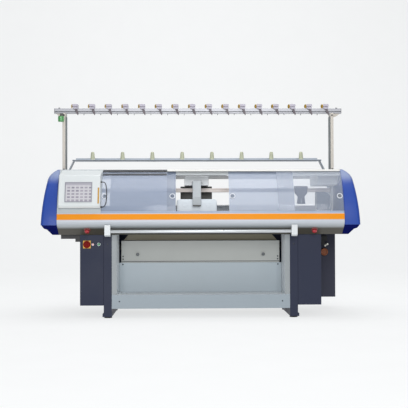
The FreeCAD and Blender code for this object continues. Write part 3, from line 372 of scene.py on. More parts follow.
def eased(name, node, width, material, steps=2):
    """A copy of a CAD node with its arrises rounded over by a small radius."""
    mesh = bmesh.new()
    mesh.from_mesh(frame["nodes"][node].data)
    bmesh.ops.remove_doubles(mesh, verts=mesh.verts, dist=2e-6)
    bmesh.ops.dissolve_limit(mesh, angle_limit=math.radians(0.4), verts=mesh.verts,
                             edges=mesh.edges)
    return settle(softened(stand_alone(name, mesh, material), width, steps, 35), node)


# The base under each cap is a second moulding tucked in under the skirt, coloured a matt dark
# navy as painted shade.
navy_painted_shade = moulded("matt_navy_painted_shade", "101754", 0.62, grain=0.02, depth=0.0006, shine=0.0)
eased("cap_bases_moulded", "cap_bases", 0.004, navy_painted_shade)

# -------- aprons
# Folded 3 mm steel sheets, powder coated pale blue-grey on the face and screwed to the bed
# casting; the belly that folds back under the machine is coloured umber grey as painted shade,
# darker towards its inner edge.
fold_y, fold_z = 0.45, 0.745

# Polyester powder coat on steel: fine orange peel; the belly's darker umber, blending into the
# face round the fold, is painted shade.
apron_coat, tree, shader, where = surface("powder_coated_steel_belly_painted_shade")
height = axes(tree, where)["Z"]
cloud = noise(tree, where, 5.0, 4.0)
# Painted shade: umber low on the belly, lightening upwards towards the fold.
belly_painted_shade = mixed(tree, remap(tree, height, 0.713, 0.731), "3F3C33", "A0A6AA")
face = mixed(tree, cloud, "B2B8C0", "BDC2C9")
fold_shade_blend = remap(tree, height, fold_z - 0.008, fold_z + 0.016)
fill(tree, shader, {
    "Base Color": mixed(tree, fold_shade_blend, belly_painted_shade, face),
    "Roughness": remap(tree, cloud, 0.0, 1.0, 0.32, 0.44),
    "Normal": bumped(tree, noise(tree, where, 220.0, 2.0), 0.3, 0.0003)})

# The fold is a wide press-brake bend, so its arris is rounded far more than the rims.
for label in ("front", "rear"):
    sheet = eased(label + "_apron_sheet", label + "_apron", 0.026, apron_coat, 8)
    weights = sheet.data.attributes.new("bevel_weight_edge", "FLOAT", "EDGE")
    for edge in sheet.data.edges:
        one, two = (sheet.data.vertices[k].co for k in edge.vertices)
        outer = abs(one.y) > fold_y and abs(one.z - fold_z) < 0.004
        bend = outer and abs(one.z - two.z) < 1e-4 and abs(one.x - two.x) > 0.5
        weights.data[edge.index].value = 1.0 if bend else 0.0
    sheet.modifiers["arris"].limit_method = "WEIGHT"

# Cast vinyl film in orange, laid along the apron just under the doors.
orange_film = moulded("cast_vinyl_orange", "E48C08", 0.5, grain=0.03, depth=0.0002,
                      drift=0.03, shine=0.2)
eased("accent_film", "accent_strip", 0.0003, orange_film)

# -------- hood and top beam
# Fixed hood over the left end and the frame that closes the top of the covers, both
# bent steel sheet, powder coated white and pale grey, screwed to two cross ties.
rear_side_y = 0.27


def powder(name, colour, roughness=0.42, grain=0.005, **touches):
    """Polyester powder coat on sheet steel, with a fine orange peel."""
    return moulded("powder_coated_" + name, colour, roughness, grain, **touches)


white_coat = powder("white", "AFB6B9", drift=0.03)
pale_coat = powder("pale_grey", "CBD0D3", 0.40, drift=0.04)
eased("hood_sheet", "hood_left", 0.0012, white_coat)
rear_faces_painted_light = powder("rear_faces_painted_light", "F4F5F5", 0.5)


def second_coat(item, material, inside):
    """Gives the faces that pass a test a second material."""
    item.data.materials.append(material)
    for face in item.data.polygons:
        face.material_index = 1 if inside(face) else 0


# The frame's rear faces are coated bright white as painted light, lifting the shade they stand
# in behind the front beam.
second_coat(eased("top_frame", "top_beams", 0.0015, pale_coat), rear_faces_painted_light,
            lambda face: face.center.y > rear_side_y)


def capped(places, mesh=None, looped=False):
    """Joins closed rings of places into a mesh and caps its ends, or joins the ends."""
    mesh = mesh or bmesh.new()
    rows = [[mesh.verts.new(place) for place in ring] for ring in places]
    if looped:
        grid_faces(mesh, rows + rows[:1], closed=True)
    else:
        grid_faces(mesh, rows, closed=True)
        mesh.faces.new(rows[0])
        mesh.faces.new(rows[-1])
    return mesh


def run(section, low_x, high_x, mesh=None):
    """Runs a closed front-to-back section along X."""
    return capped([[(x, y, z) for y, z in section] for x in (low_x, high_x)], mesh)


def band(low, high, radius, wall):
    """Section of a thin strip that follows the arch between two heights."""
    heights = [low + (high - low) * k / 6 for k in range(7)]
    return ([(arch_y(radius, z), z) for z in heights]
            + [(arch_y(radius - wall, z), z) for z in reversed(heights)])


def extra(name, shape, material, body, smooth=32):
    """A small piece that stands for no CAD node: it rides on a body in a named finish."""
    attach(stand_alone(name, shape, material, smooth), body)


# EPDM seal pressed along the beam's lower edge behind the doors; its dark line is also painted
# shade for the shaded lower edge of the rear beam.
seal_rubber = moulded("epdm_seal", "3A3D43", 0.6, grain=0.003)
seal_and_shade_line = run(band(1.1374, 1.1414, 0.5935, 0.0014), -0.300, 0.210)
extra("beam_seal", seal_and_shade_line, seal_rubber, "machine")

# -------- doors and tracks
# Four sliding covers of 4 mm acrylic, drape formed to the arch, running in two lanes of
# an extruded track; each has a finger ring pressed through it near one edge.
pane_wall, pane_corner = 0.004, 0.012
ring_z, ring_inset = 0.971, 0.027


def acrylic(name, colour, alpha, roughness):
    """Smoke-tinted acrylic: mostly seen through, with the cloudiness of long wiping."""
    material, tree, shader, where = surface(name)
    wiped = add(tree, "ShaderNodeMapping", {"Scale": (1.0, 6.0, 6.0), "Vector": where})
    smear = noise(tree, wiped.outputs["Vector"], 3.0, 5.0)
    fill(tree, shader, {
        "Base Color": shades(tree, smear, colour, 0.94, 1.05), "Alpha": alpha, "IOR": 1.49,
        "Roughness": remap(tree, smear, 0.0, 1.0, roughness * 0.7, roughness * 1.4)})
    return material


smoke_acrylic = acrylic("smoke_tinted_acrylic", "ABB7CC", 0.46, 0.10)
deep_acrylic = acrylic("deep_tinted_acrylic", "8995AA", 0.61, 0.10)
clear_acrylic = acrylic("clear_acrylic", "B4BECF", 0.24, 0.08)
ring_plastic = moulded("white_acetal_ring", "D9DCE2", 0.3)
lock_steel = moulded("nickel_plated_lock", "8A8D92", 0.3, grain=0.003, metallic=1.0)


def turned(profile, place, count=40, looped=False, mesh=None):
    """Turns a profile of radius and height, in millimetres, about the Z axis of a place."""
    turns = [2 * math.pi * k / count for k in range(count)]
    return capped([[place @ Vector((radius / 1000 * math.cos(a), radius / 1000 * math.sin(a),
                                    height / 1000)) for a in turns]
                   for radius, height in profile], mesh, looped)


def facing(place, direction=(0, -1, 0)):
    """A frame at a place whose Z axis looks along a direction, forward unless told."""
    return (Matrix.Translation(Vector(place))
            @ Vector(direction).to_track_quat("Z", "Y").to_matrix().to_4x4())


for name, lane, ring_side, sheet in (
        ("door_1", 0.612, -1, smoke_acrylic), ("door_2", 0.600, 1, deep_acrylic),
        ("door_3", 0.600, -1, smoke_acrylic), ("door_4", 0.612, 1, clear_acrylic)):
    low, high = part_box(name)
    bottom_turn = math.asin((low.z - arch_axis[1]) / lane)
    top_turn = math.asin((high.z - arch_axis[1]) / lane)
    length = (top_turn - bottom_turn) * lane
    corner = [pane_corner * (1 - math.cos(a)) for a in quarter(5)]
    stations = corner + [pane_corner + (length - 2 * pane_corner) * k / 24 for k in range(1, 24)]
    stations += [length - s for s in reversed(corner)]
    rings = []
    for s in stations:
        inset = pane_corner - min(s, length - s, pane_corner)
        tuck = pane_corner - math.sqrt(pane_corner ** 2 - inset ** 2)
        turn = bottom_turn + s / lane
        rings.append([(x, arch_axis[0] - radius * math.cos(turn),
                       arch_axis[1] + radius * math.sin(turn))
                      for radius, x in ((lane, low.x + tuck), (lane, high.x - tuck),
                                        (lane - pane_wall, high.x - tuck),
                                        (lane - pane_wall, low.x + tuck))])
    settle(stand_alone(name + "_pane", capped(rings), sheet), name)

    ring_x = high.x - ring_inset if ring_side > 0 else low.x + ring_inset
    turn = math.asin((ring_z - arch_axis[1]) / lane)
    outward = Vector((0, -math.cos(turn), math.sin(turn)))
    middle = Vector((ring_x, arch_axis[0], arch_axis[1])) + outward * (lane - pane_wall / 2)
    pull = turned([
        (16.5, -4), (16.5, 3), (18, 4), (21, 4), (22.5, 2.5), (22.5, -2.5), (21, -4)],
        facing(middle, outward), looped=True)
    extra(name + "_ring", pull, ring_plastic, name)
    dish = turned([(16, -3.5), (16, -1), (6, -1.5), (5, 2), (2, 2.2)], facing(middle, outward))
    extra(name + "_lock", dish, lock_steel, name)

# Dark rubber strips: two on the head of the left door and one pressed into the upper track above
# it.
low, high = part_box("door_1")
strips = run(band(1.1405, 1.1560, 0.6136, 0.0015), low.x + 0.003, high.x - 0.003)
run(band(1.1660, 1.1730, 0.6136, 0.0015), low.x + 0.003, high.x - 0.003, mesh=strips)
extra("door_head_strips", strips, seal_rubber, "door_1")
strip = run(band(1.1750, 1.1880, 0.6183, 0.0011), low.x + 0.004, high.x)
extra("track_strip", strip, seal_rubber, "machine")

# Extruded tracks: the upper one in warm white enamel, the lower one in blue-grey.
tracks_part_z = 1.0
track_white = moulded("enamelled_upper_track", "CFCFCB", 0.4)
track_blue = moulded("enamelled_lower_track", "8E9BB2", 0.4)
second_coat(eased("door_tracks_extruded", "door_tracks", 0.0005, track_white), track_blue,
            lambda face: face.center.z < tracks_part_z)

# -------- control box
# Moulded ABS housing on the hood with a resistive touch screen behind a grey bezel, a
# brass-coloured stylus strip down its right side and two cable glands.
low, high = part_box("control_box")
box_right_x = -0.790
box_section = [(-0.468, 0.876), (-0.484, 0.896), (-0.428, 1.136)]
white_abs = moulded("white_abs_housing", "D0D5D6", 0.45, grain=0.003, drift=0.03)
arch_back = [(arch_y(0.6203, z), z) for z in (1.184, 1.130, 1.080, 1.030, 0.980, 0.930, 0.876)]
housing = run(box_section + arch_back, low.x, box_right_x)
settle(softened(stand_alone("control_housing", housing, white_abs), 0.009, 4, 18),
       "control_box")

glands = bmesh.new()
for y, z in ((-0.4246, 1.082), (-0.4463, 0.886)):
    place = facing((box_right_x, y, z), (1, 0, 0))
    turned([(6.8, 0), (6.8, 5), (6, 6), (5.8, 10), (4, 12)], place, 12, mesh=glands)
extra("cable_glands", glands, moulded("black_nylon_gland", "2A2B2E", 0.5, grain=0.006),
      "machine", 25)


def box_face(z, out=0.0):
    """Front-to-back place on the box's sloping face at a height."""
    (low_y, low_z), (high_y, high_z) = box_section[1:]
    return low_y + (z - low_z) * (high_y - low_y) / (high_z - low_z) - out


strip = run([(box_face(z, out), z) for z, out in (
    (0.912, -0.002), (1.038, -0.002), (1.038, 0.0018), (0.912, 0.0018))],
    box_right_x - 0.020, box_right_x - 0.008)
extra("stylus_strip", strip, moulded("brass_strip", "B0883A", 0.4, grain=0.003, metallic=0.35),
      "machine")

# The screen: a grey bezel round a glass panel that shows a pale page of plain fields.
low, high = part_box("touch_screen")
rim = 0.007


def screen_edge(inset, out):
    """A ring round the screen's face, drawn in from its edge and raised off the box."""
    return [(x, box_face(z, out), z) for x, z in (
        (low.x + inset, low.z + inset), (high.x - inset, low.z + inset),
        (high.x - inset, high.z - inset), (low.x + inset, high.z - inset))]


bezel = capped([screen_edge(0.0, 0.0), screen_edge(0.0, 0.0045), screen_edge(rim, 0.0055),
                screen_edge(rim, 0.0015)])
settle(stand_alone("screen_bezel", bezel,
                   moulded("grey_bezel_abs", "8C8D96", grain=0.003)), "touch_screen")

# Lit LCD page under matt glass: a header bar over rows of small grey-lilac fields, the
# plain layout of a machine's control page.
lcd, tree, shader, where = surface("lit_lcd_glass")
flat = axes(tree, where)
sheet_xy = add(tree, "ShaderNodeCombineXYZ", {"X": flat["X"], "Y": flat["Z"]})
tiles = add(tree, "ShaderNodeTexBrick", {
    "offset": 0.0, "Scale": 1.0, "Mortar Size": 0.006, "Brick Width": 0.034, "Row Height": 0.025,
    "Color1": linear("7C7986"), "Color2": linear("99959F"), "Mortar": linear("B9B8BD"),
    "Vector": sheet_xy.outputs["Vector"]})
header = remap(tree, flat["Z"], 1.0560, 1.0568)
page = mixed(tree, header, tiles.outputs["Color"], "A3A1AB")
fill(tree, shader, {"Base Color": page, "Emission Color": page, "Emission Strength": 0.08,
                    "Roughness": 0.4})
glass = run([(box_face(z, out), z) for z, out in (
    (low.z + rim, 0.001), (low.z + rim, 0.002), (high.z - rim, 0.002), (high.z - rim, 0.001))],
    low.x + rim, high.x - rim)
extra("screen_glass", glass, lcd, "machine")

# -------- bed casting
# Grey iron casting with a machined top, painted where it isn't ground; it carries the
# needle beds and rests on both legs, with a sheet tray under its left overhang.
casting_paint = moulded("painted_grey_iron", "747985", 0.55, depth=0.0008,
                        drift=0.08, scuff=0.2)
black_coat = powder("black", "17181B", 0.45, drift=0.08)
eased("bed_casting_painted", "bed_casting", 0.003, casting_paint)
eased("cable_tray_sheet", "cable_tray", 0.002, black_coat)

# -------- needle beds
# Two ground steel beds that meet in a V, each with a comb of thin trick walls and a
# latch needle in every trick, its hook at the crest; drawn at a 4 mm pitch.
bed_half, crest_z, crest_y = 0.672, 0.905, 0.009
bed_run, bed_wall = 0.165, 0.034
needle_pitch = 0.004
needle_count = int(2 * bed_half / needle_pitch)


def ground(name, colour, roughness, streak=(2.0, 90.0, 90.0)):
    """Ground or drawn metal: fine lines that run along the part."""
    material, tree, shader, where = surface(name)
    stretched = add(tree, "ShaderNodeMapping", {"Scale": streak, "Vector": where})
    lines = noise(tree, stretched.outputs["Vector"], 6.0, 5.0, 0.6)
    fill(tree, shader, {
        "Base Color": shades(tree, lines, colour, 0.86, 1.08), "Metallic": 1.0,
        "Roughness": remap(tree, lines, 0.0, 1.0, roughness * 0.7, roughness * 1.3),
        "Normal": bumped(tree, lines, 0.25, 0.0002)})
    return material


bed_steel = ground("ground_bed_steel", "A4A8AD", 0.34)
needle_steel = ground("polished_needle_wire", "C9CCD2", 0.24, (60.0, 4.0, 4.0))

row_tree = bpy.data.node_groups.new("straight_row", "GeometryNodeTree")
for label, kind in (("Part", "Object"), ("Count", "Int"), ("Start", "Vector"),
                    ("Step", "Vector"), ("Finish", "Material")):
    row_tree.interface.new_socket(label, in_out="INPUT", socket_type="NodeSocket" + kind)
row_tree.interface.new_socket("Geometry", in_out="OUTPUT", socket_type="NodeSocketGeometry")
given = add(row_tree, "NodeGroupInput").outputs
part_info = add(row_tree, "GeometryNodeObjectInfo", {"Object": given["Part"]})
stations = add(row_tree, "GeometryNodeMeshLine", {
    "mode": "OFFSET", "Count": given["Count"], "Start Location": given["Start"],
    "Offset": given["Step"]})
spread = add(row_tree, "GeometryNodeInstanceOnPoints", {
    "Points": stations.outputs["Mesh"], "Instance": part_info.outputs["Geometry"]})
joined = add(row_tree, "GeometryNodeRealizeInstances", {"Geometry": spread.outputs["Instances"]})
painted = add(row_tree, "GeometryNodeSetMaterial", {
    "Geometry": joined.outputs["Geometry"], "Material": given["Finish"]})
add(row_tree, "NodeGroupOutput", {"Geometry": painted.outputs["Geometry"]})


def row_of(name, shape, count, start, pitch, material):
    """Repeats a part along X at a pitch and leaves the row as one plain mesh."""
    part = stand_alone("part", shape, material)
    item = placed(name, bpy.data.meshes.new(name))
    rule = item.modifiers.new("row", "NODES")
    rule.node_group = row_tree
    values = {"Part": part, "Count": count, "Start": start, "Step": (pitch, 0, 0),
              "Finish": material}
    for socket in row_tree.interface.items_tree:
        if socket.in_out == "INPUT":
            rule[socket.identifier] = values[socket.name]
    item.update_tag()
    shown = bpy.context.evaluated_depsgraph_get()
    mesh = bpy.data.meshes.new_from_object(item.evaluated_get(shown), depsgraph=shown)
    item.modifiers.clear()
    item.data = mesh
    bpy.data.objects.remove(part)
    return item


def blade(back, half_width, first, last, foot, head, tail, mesh=None):
    """A flat bar along a bed's face: from first to last below the crest, with its lower
    edge at foot and its upper edge at head, running to tail at the far end."""
    return run([(-back * bed_lay * (along + off), bed_lay * (off - along)) for along, off in
                ((first, foot), (last, foot), (last, tail), (first, head))],
               -half_width, half_width, mesh)


bed_lay = 0.7071
plate_end_y = bed_run + crest_y
for label, back in (("front", 1), ("rear", -1)):
    plate = run([
        (-back * crest_y, crest_z - 0.004), (-back * crest_y, crest_z - bed_wall),
        (-back * plate_end_y, crest_z - bed_wall - bed_run),
        (-back * plate_end_y, crest_z - bed_run),
        (-back * (plate_end_y - 0.010), crest_z - bed_run + 0.006)], -bed_half, bed_half)
    settle(stand_alone("bed_plate_" + label, plate, bed_steel), "needle_bed_" + label)
    fin = blade(back, 0.0005, 0.002, 0.205, -0.006, -0.0005, -0.0015)
    needle = bmesh.new()
    for half_width, first, last, foot, head in (
            (0.0004, -0.003, 0.150, -0.003, -0.0012), (0.0004, -0.004, -0.0025, -0.002, 0.0018),
            (0.0006, 0.060, 0.066, -0.002, 0.0030)):
        blade(back, half_width, first, last, foot, head, head, mesh=needle)
    for name, piece, first_x, count, steel in (
            ("trick_walls_", fin, needle_pitch / 2, needle_count, bed_steel),
            ("needles_", needle, needle_pitch, needle_count - 1, needle_steel)):
        row = row_of(name + label, piece, count,
                     (first_x - bed_half, -back * crest_y, crest_z - 0.002), needle_pitch, steel)
        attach(row, "machine")

# -------- carriage rails
# Hardened T-section rails, ground on top, screwed to the casting's deck.
eased("carriage_rails_ground", "carriage_rails", 0.0008,
      ground("hardened_rail_steel", "B4B6B8", 0.26))

# -------- carriage
# The knitting carriage: two cam boxes with pressed covers, painted pale and dark grey,
# hung from a cast alloy bridge that reaches over the feeder rails.
pale_cover = moulded("stoved_pale_enamel", "DBE3EA", 0.34, grain=0.006, drift=0.03)
dark_cover = moulded("stoved_dark_enamel", "474643", grain=0.006)
sand_cast = moulded("sand_cast_alloy", "D9DCDE", 0.45, grain=0.003, depth=0.0007, metallic=0.2)
eased("front_cam_cover", "cam_box_front", 0.006, pale_cover, 3)
eased("rear_cam_cover", "cam_box_rear", 0.004, dark_cover)
# The bridge's front arm takes a darker grey than the block behind it: the two tones are painted
# light and shade, darkening the arm in the front light and lifting the block in the shade under
# the crown.
arm_painted_light_tone = moulded("arm_grey_painted_light", "A9AFB3")
arm_front_y = -0.1285
second_coat(eased("carriage_bridge_cast", "carriage_bridge", 0.004, sand_cast, 3), arm_painted_light_tone,
            lambda face: face.center.y < arm_front_y)

low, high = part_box("cam_box_front")
middle_x = (low.x + high.x) / 2
caps = bmesh.new()
for offset in (-0.095, 0.095):
    turned([(20, -1), (20, 1.5), (18.5, 2.5), (16.5, 1.5), (16.5, 0.8), (4, 0.8)],
           facing((middle_x + offset, low.y, 0.905)), mesh=caps)
extra("cam_cover_caps", caps, pale_cover, "carriage")

# A dark pad under the bridge arm's foot: painted shadow where the foot meets the front cam box.
foot_shadow_pad = run([(-0.334, 0.8988), (-0.334, 0.8920), (-0.3002, 0.8920), (-0.3002, 0.8988)],
             middle_x - 0.033, middle_x + 0.033)
extra("bridge_foot_gasket", foot_shadow_pad, dark_cover, "carriage")

# -------- feeder rails
# Two drawn steel rails in cream paint with a groove each side, held between pressed end
# brackets; a plastic yarn carrier with its guide tube is parked at the right.
eased("feeder_rails_drawn", "feeder_rails", 0.0006,
      moulded("cream_rail_paint", "E6DCD6", 0.4, grain=0.01))
eased("feeder_brackets_pressed", "feeder_brackets", 0.001, sand_cast)
carrier_nylon = moulded("grey_nylon_carrier", "636574", 0.48)
pale_nylon = moulded("pale_nylon_skirt", "8390A2", 0.48)
skirt_top_z = 0.958
second_coat(eased("yarn_carrier_moulded", "yarn_carrier", 0.0012, carrier_nylon), pale_nylon,
            lambda face: face.center.z < skirt_top_z)
low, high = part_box("yarn_carrier")
guide_foot = ((low.x + high.x) / 2, low.y - 0.003, low.z + 0.002)
guide = turned([(3.4, -4), (3.4, 40), (2.2, 45)], facing(guide_foot, (0, 0, 1)), 16)
extra("guide_tube", guide, needle_steel, "yarn_carrier")

# -------- carriage drive
# Toothed neoprene belt round two alloy pulleys on steel posts; the right one has the
# drive motor behind it and a covered wiring box beside it.
belt_rubber, tree, shader, where = surface("toothed_neoprene")
teeth = add(tree, "ShaderNodeTexWave", {"bands_direction": "X", "Scale": 31.4,
                                        "Vector": where}).outputs["Fac"]
fill(tree, shader, {
    "Base Color": mixed(tree, teeth, "17171A", "303034"), "Roughness": 0.7,
    "Normal": bumped(tree, teeth, 0.8, 0.0015)})
eased("drive_belt_moulded", "drive_belt", 0.0004, belt_rubber)
pulley_alloy = ground("turned_pulley_alloy", "B7B9BC", 0.3, (60.0, 4.0, 60.0))
for label in ("left", "right"):
    low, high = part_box("pulley_" + label)
    half = (high.y - low.y) * 500
    wheel = turned([
        (10.1, -half), (30, -half), (34, -half + 2), (35.8, -half + 2), (35.8, half - 2),
        (34, half - 2), (30, half), (10.1, half)],
        facing((low + high) / 2, (0, 1, 0)), 72, looped=True)
    settle(stand_alone("pulley_%s_turned" % label, wheel, pulley_alloy), "pulley_" + label)
grey_coat = powder("mid_grey", "7C838D")
eased("pulley_posts_steel", "pulley_posts", 0.002, grey_coat)

# -------- legs and feet
# Folded steel legs, powder coated slate, on turned pads with hexagon jacking nuts; a
# pressed sheet closes the back between them.
slate_coat = powder("slate", "292E41", 0.50, depth=0.0004, drift=0.07, scuff=0.06, shine=0.22)
eased("leg_left_folded", "leg_left", 0.003, slate_coat)
eased("leg_right_folded", "leg_right", 0.003, slate_coat)
eased("rear_panel_pressed", "rear_panel", 0.002, slate_coat)

leg_middle_x = 0.744
pad_rubber = moulded("moulded_pad_rubber", "1D1E20", 0.7, grain=0.003)
pads = bmesh.new()
low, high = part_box("levelling_feet")
for x in (-leg_middle_x, leg_middle_x):
    for y in (low.y + 0.032, high.y - 0.032):
        turned([(30.5, 0), (32, 1.2), (32, 4.5), (30, 6), (13, 6), (11.6, 6.6), (11.6, 10)],
               Matrix.Translation((x, y, 0)), 48, mesh=pads)
settle(stand_alone("levelling_pads", pads, pad_rubber, 25), "levelling_feet")

# -------- cabinets
# Welded sheet cabinets beside the legs and a taller box behind the right one, with a plain door
# sheet on each front: the cabinets in the slate coat, the box in a lighter slate that is painted
# light against the shade it stands in.
eased("cabinet_left_sheet", "cabinet_left", 0.003, slate_coat)
eased("cabinet_right_sheet", "cabinet_right", 0.003, slate_coat)
# Painted light: a lighter slate on the set-back box where it stands in shade.
side_box_painted_light = powder("slate_painted_light", "353746", 0.50, depth=0.0004, drift=0.07, shine=0.22)
eased("side_box_sheet", "side_box", 0.003, side_box_painted_light)

# Cable entry on the side box: a black junction block, a bright coupling bent out of it
# and a round rust-orange cap under it.
block = bmesh.new()
side_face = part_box("side_box")[0].y
for low_x, high_x, low_z, high_z, reach in ((1.040, 1.096, 0.596, 0.640, 0.030),
                                             (1.046, 1.076, 0.560, 0.597, 0.022)):
    run([(side_face, low_z), (side_face - reach, low_z), (side_face - reach, high_z),
         (side_face, high_z)], low_x, high_x, mesh=block)
extra("side_junction_block", block, black_coat, "machine")
coupling = turned(
    [(10.5, 0), (10.5, 12), (8.5, 13), (8.5, 24), (12.5, 25), (12.5, 37), (10, 39)],
    facing((1.074, side_face - 0.016, 0.553), (0.80, -0.15, 0.58)), 24)
bright_nickel = moulded("bright_nickel_coupling", "C9C8C0", 0.34, grain=0.003, metallic=0.6)
extra("side_coupling", coupling, bright_nickel, "machine")
cap = turned([(30, 0), (32.5, 4), (32.5, 16), (29, 22), (24, 22.5), (22, 18), (4, 18)],
             facing((1.073, side_face, 0.501)))
extra("side_cap", cap, moulded("rust_orange_cap", "8A4A22", 0.5, drift=0.12), "machine")

# -------- panels between the legs
# Light grey sheet panels: posts, kick panel, lower panel and the hinged flap over the
# fabric space, fixed with pan head screws.
grey_sheet = powder("light_grey", "8F9598")
panel_sheet = powder("blue_grey", "A3AEB5", drift=0.06)
kick_sheet = powder("kick_grey", "8F9AA2", drift=0.06)
flap_sheet = powder("warm_grey", "A8ABA8")
shaded_faces_painted_light = powder("grey_painted_light", "DCE1E4", drift=0.04)
# Side faces and upward faces of the columns and kick panel take a lighter grey as painted light
# where they stand in shade.
for item in (eased("column_sheets", "columns", 0.0012, grey_sheet),
             eased("kick_panel_sheet", "kick_panel", 0.0014, kick_sheet)):
    second_coat(item, shaded_faces_painted_light, lambda face: max(abs(face.normal.x), face.normal.z) > 0.7)
eased("lower_panel_sheet", "lower_panel", 0.0014, panel_sheet)
eased("flap_sheet", "fabric_flap", 0.0018, flap_sheet)
# A black strip along the flap's lower edge: painted shade for the gap under the flap.
edge_shade_strip = run([
    (-0.0956, 0.4372), (-0.0956, 0.4420), (-0.0948, 0.4420), (-0.0948, 0.4380),
    (-0.0925, 0.4380), (-0.0925, 0.4372)], -0.653, 0.653)
extra("flap_edging", edge_shade_strip, seal_rubber, "fabric_flap")

low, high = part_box("flap_knobs")
knob_steel = moulded("zinc_latch_knob", "5C6063", 0.40, grain=0.003, metallic=0.4)
knobs = bmesh.new()
for x in (low.x + 0.013, high.x - 0.013):
    turned([
        (6, 0), (6, 6), (11.8, 7), (13, 9), (13, 19), (11.5, 21.5), (8.5, 22), (7.5, 18.5),
        (2, 18.5)], facing((x, high.y, (low.z + high.z) / 2)), 36, mesh=knobs)
settle(stand_alone("flap_knobs_turned", knobs, knob_steel), "flap_knobs")

# A sheet under the bed casting over the rollers, its ends cut away on a slant, in dull umber:
# painted shade for the dark band under the apron.
recess_shade_coat = powder("umber", "8C8670", 0.5)


def flat_plate(outline, low_y, high_y, mesh=None):
    """A plate cut to an outline of X and Z between two places front to back."""
    return capped([[(x, y, z) for x, z in outline] for y in (low_y, high_y)], mesh)


recess_shade_sheet = flat_plate([
    (-0.640, 0.612), (-0.592, 0.6645), (0.592, 0.6645), (0.640, 0.612)], -0.0475, -0.0455)
extra("lint_shield", recess_shade_sheet, recess_shade_coat, "machine")

screw_zinc = moulded("black_zinc_screw", "33353A", 0.35, grain=0.002, metallic=0.7)
for name, aside, y, z, body in (
        ("kick_screws", 0.651, -0.338, 0.133, "machine"),
        ("flap_screws_low", 0.640, -0.095, 0.457, "fabric_flap"),
        ("flap_screws_high", 0.640, -0.095, 0.480, "fabric_flap"),
        ("panel_screws", 0.642, -0.095, 0.413, "machine"),
        ("leg_screws", leg_middle_x, -0.335, 0.588, "machine")):
    screw = turned([(5.8, 0), (5.8, 1.2), (4.6, 2.6), (2.2, 3.2)], facing((0, 0, 0)), 16)
    screws = row_of(name, screw, 2, (-aside, y, z), 2 * aside, screw_zinc)
    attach(screws, body)

# -------- take-down rollers
# A rubber-covered roller and a thin press roller that pull the fabric down, on steel
# journals in the legs.
roller_rubber = moulded("grooved_roller_rubber", "202124", 0.75, depth=0.001)
eased("takedown_roller_covered", "takedown_roller", 0.001, roller_rubber)
eased("press_roller_covered", "press_roller", 0.001, roller_rubber)

# -------- operating bar
# Polished steel bar that starts and stops the carriage, turned by the operator's hand,
# in white moulded brackets under the apron.
bar_steel = moulded("polished_bar_steel", "C9CDD0", 0.3, grain=0.003, metallic=0.5)
low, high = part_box("operating_bar")
bar = turned([
    (8, -734), (8, -712), (11.5, -712), (12.5, -710), (12.5, 710), (11.5, 712), (8, 712),
    (8, 734)], facing((0, (low.y + high.y) / 2, (low.z + high.z) / 2), (1, 0, 0)), 48)
settle(stand_alone("operating_bar_polished", bar, bar_steel), "operating_bar")
bracket_abs = moulded("white_abs_bracket", "D2D6D8", 0.36, drift=0.03)
eased("bar_brackets_moulded", "bar_brackets", 0.018, bracket_abs, 6)

# -------- buttons and switch
# Mushroom stop buttons in dark red under both ends of the apron, and on the left
# cabinet a red rotary isolator on a yellow plate, a lamp and the green start button.
stop_red = moulded("gloss_red_urea", "A3212B", 0.26, grain=0.01, depth=0.0002, coat=0.3)
bezel_chrome = moulded("satin_chrome_bezel", "9EA1A6", 0.28, grain=0.003, metallic=1.0)
# The apron's belly slopes from the fold down to its inner edge, and the buttons hang
# square to it.
belly_y, belly_z = -0.338, 0.665
lean = math.atan((fold_z - belly_z) / (belly_y - arch_y(arch_radius, fold_z)))
down_front = (0, -math.sin(lean), -math.cos(lean))
foot_y = -0.400
foot_z = belly_z + (belly_y - foot_y) * math.tan(lean)
collars = bmesh.new()
for label, x in (("left", -0.900), ("right", 0.900)):
    node, place = "stop_button_" + label, facing((x, foot_y, foot_z), down_front)
    button = turned([
        (6.5, 4.5), (6.5, 13.5), (18.5, 13.5), (19.8, 16.5), (19.5, 20.5), (16.5, 24.5),
        (10, 26.8), (3, 27.2)], place, 48)
    settle(stand_alone(node + "_mushroom", button, stop_red), node)
    turned([(7.8, 0), (26, 0), (26, 3), (21, 8.5), (17.5, 9), (7.8, 9)], place, 48,
           looped=True, mesh=collars)
settle(stand_alone("stop_button_collars", collars,
                   moulded("dull_red_collar", "7A3A38", 0.4, grain=0.01)), "button_collars")

# The start button, the lamp and the isolator stand in one row on the left cabinet.
switch_z, face_y = 0.588, -0.330
start_x, lamp_x, dial_x, dial_y = -0.814, -0.862, -0.910, -0.3343
bezels = turned([(11.4, 0), (14, 0), (14, 3), (12.8, 5), (11.4, 5)],
                facing((start_x, face_y, switch_z)), looped=True)
turned([(10.8, 0), (10.8, 3), (9, 4.2), (3, 4.2)], facing((lamp_x, face_y, switch_z)),
       mesh=bezels)
extra("button_bezels", bezels, bezel_chrome, "machine")

lens = turned([(8.5, 3), (8.5, 6), (6, 8.2), (2, 8.8)], facing((lamp_x, face_y, switch_z)), 32)
extra("power_lamp_lens", lens, moulded("pearl_lamp_lens", "E8B9BE", 0.25), "machine")

start_green = moulded("gloss_green_urea", "1F7A4A", 0.28, grain=0.01, depth=0.0002)
low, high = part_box("power_button")
push = turned([(10.8, 0), (10.8, 7.5), (9.8, 9), (3, 8.8)], facing((start_x, high.y, switch_z)))
settle(stand_alone("start_button_moulded", push, start_green), "power_button")

eased("isolator_plate", "switch_plate", 0.0015, moulded("moulded_yellow_plate", "C79A2A", 0.45))
isolator_red = moulded("moulded_isolator_red", "7A1006", 0.5, shine=0.12)
dial = turned([
    (7.8, -4), (7.8, 0), (28.5, 0), (29.5, 0.8), (28.5, 2.2), (22.5, 2.6), (21.5, 7.5), (19, 10),
    (4, 10)], facing((dial_x, dial_y, switch_z)), 48)
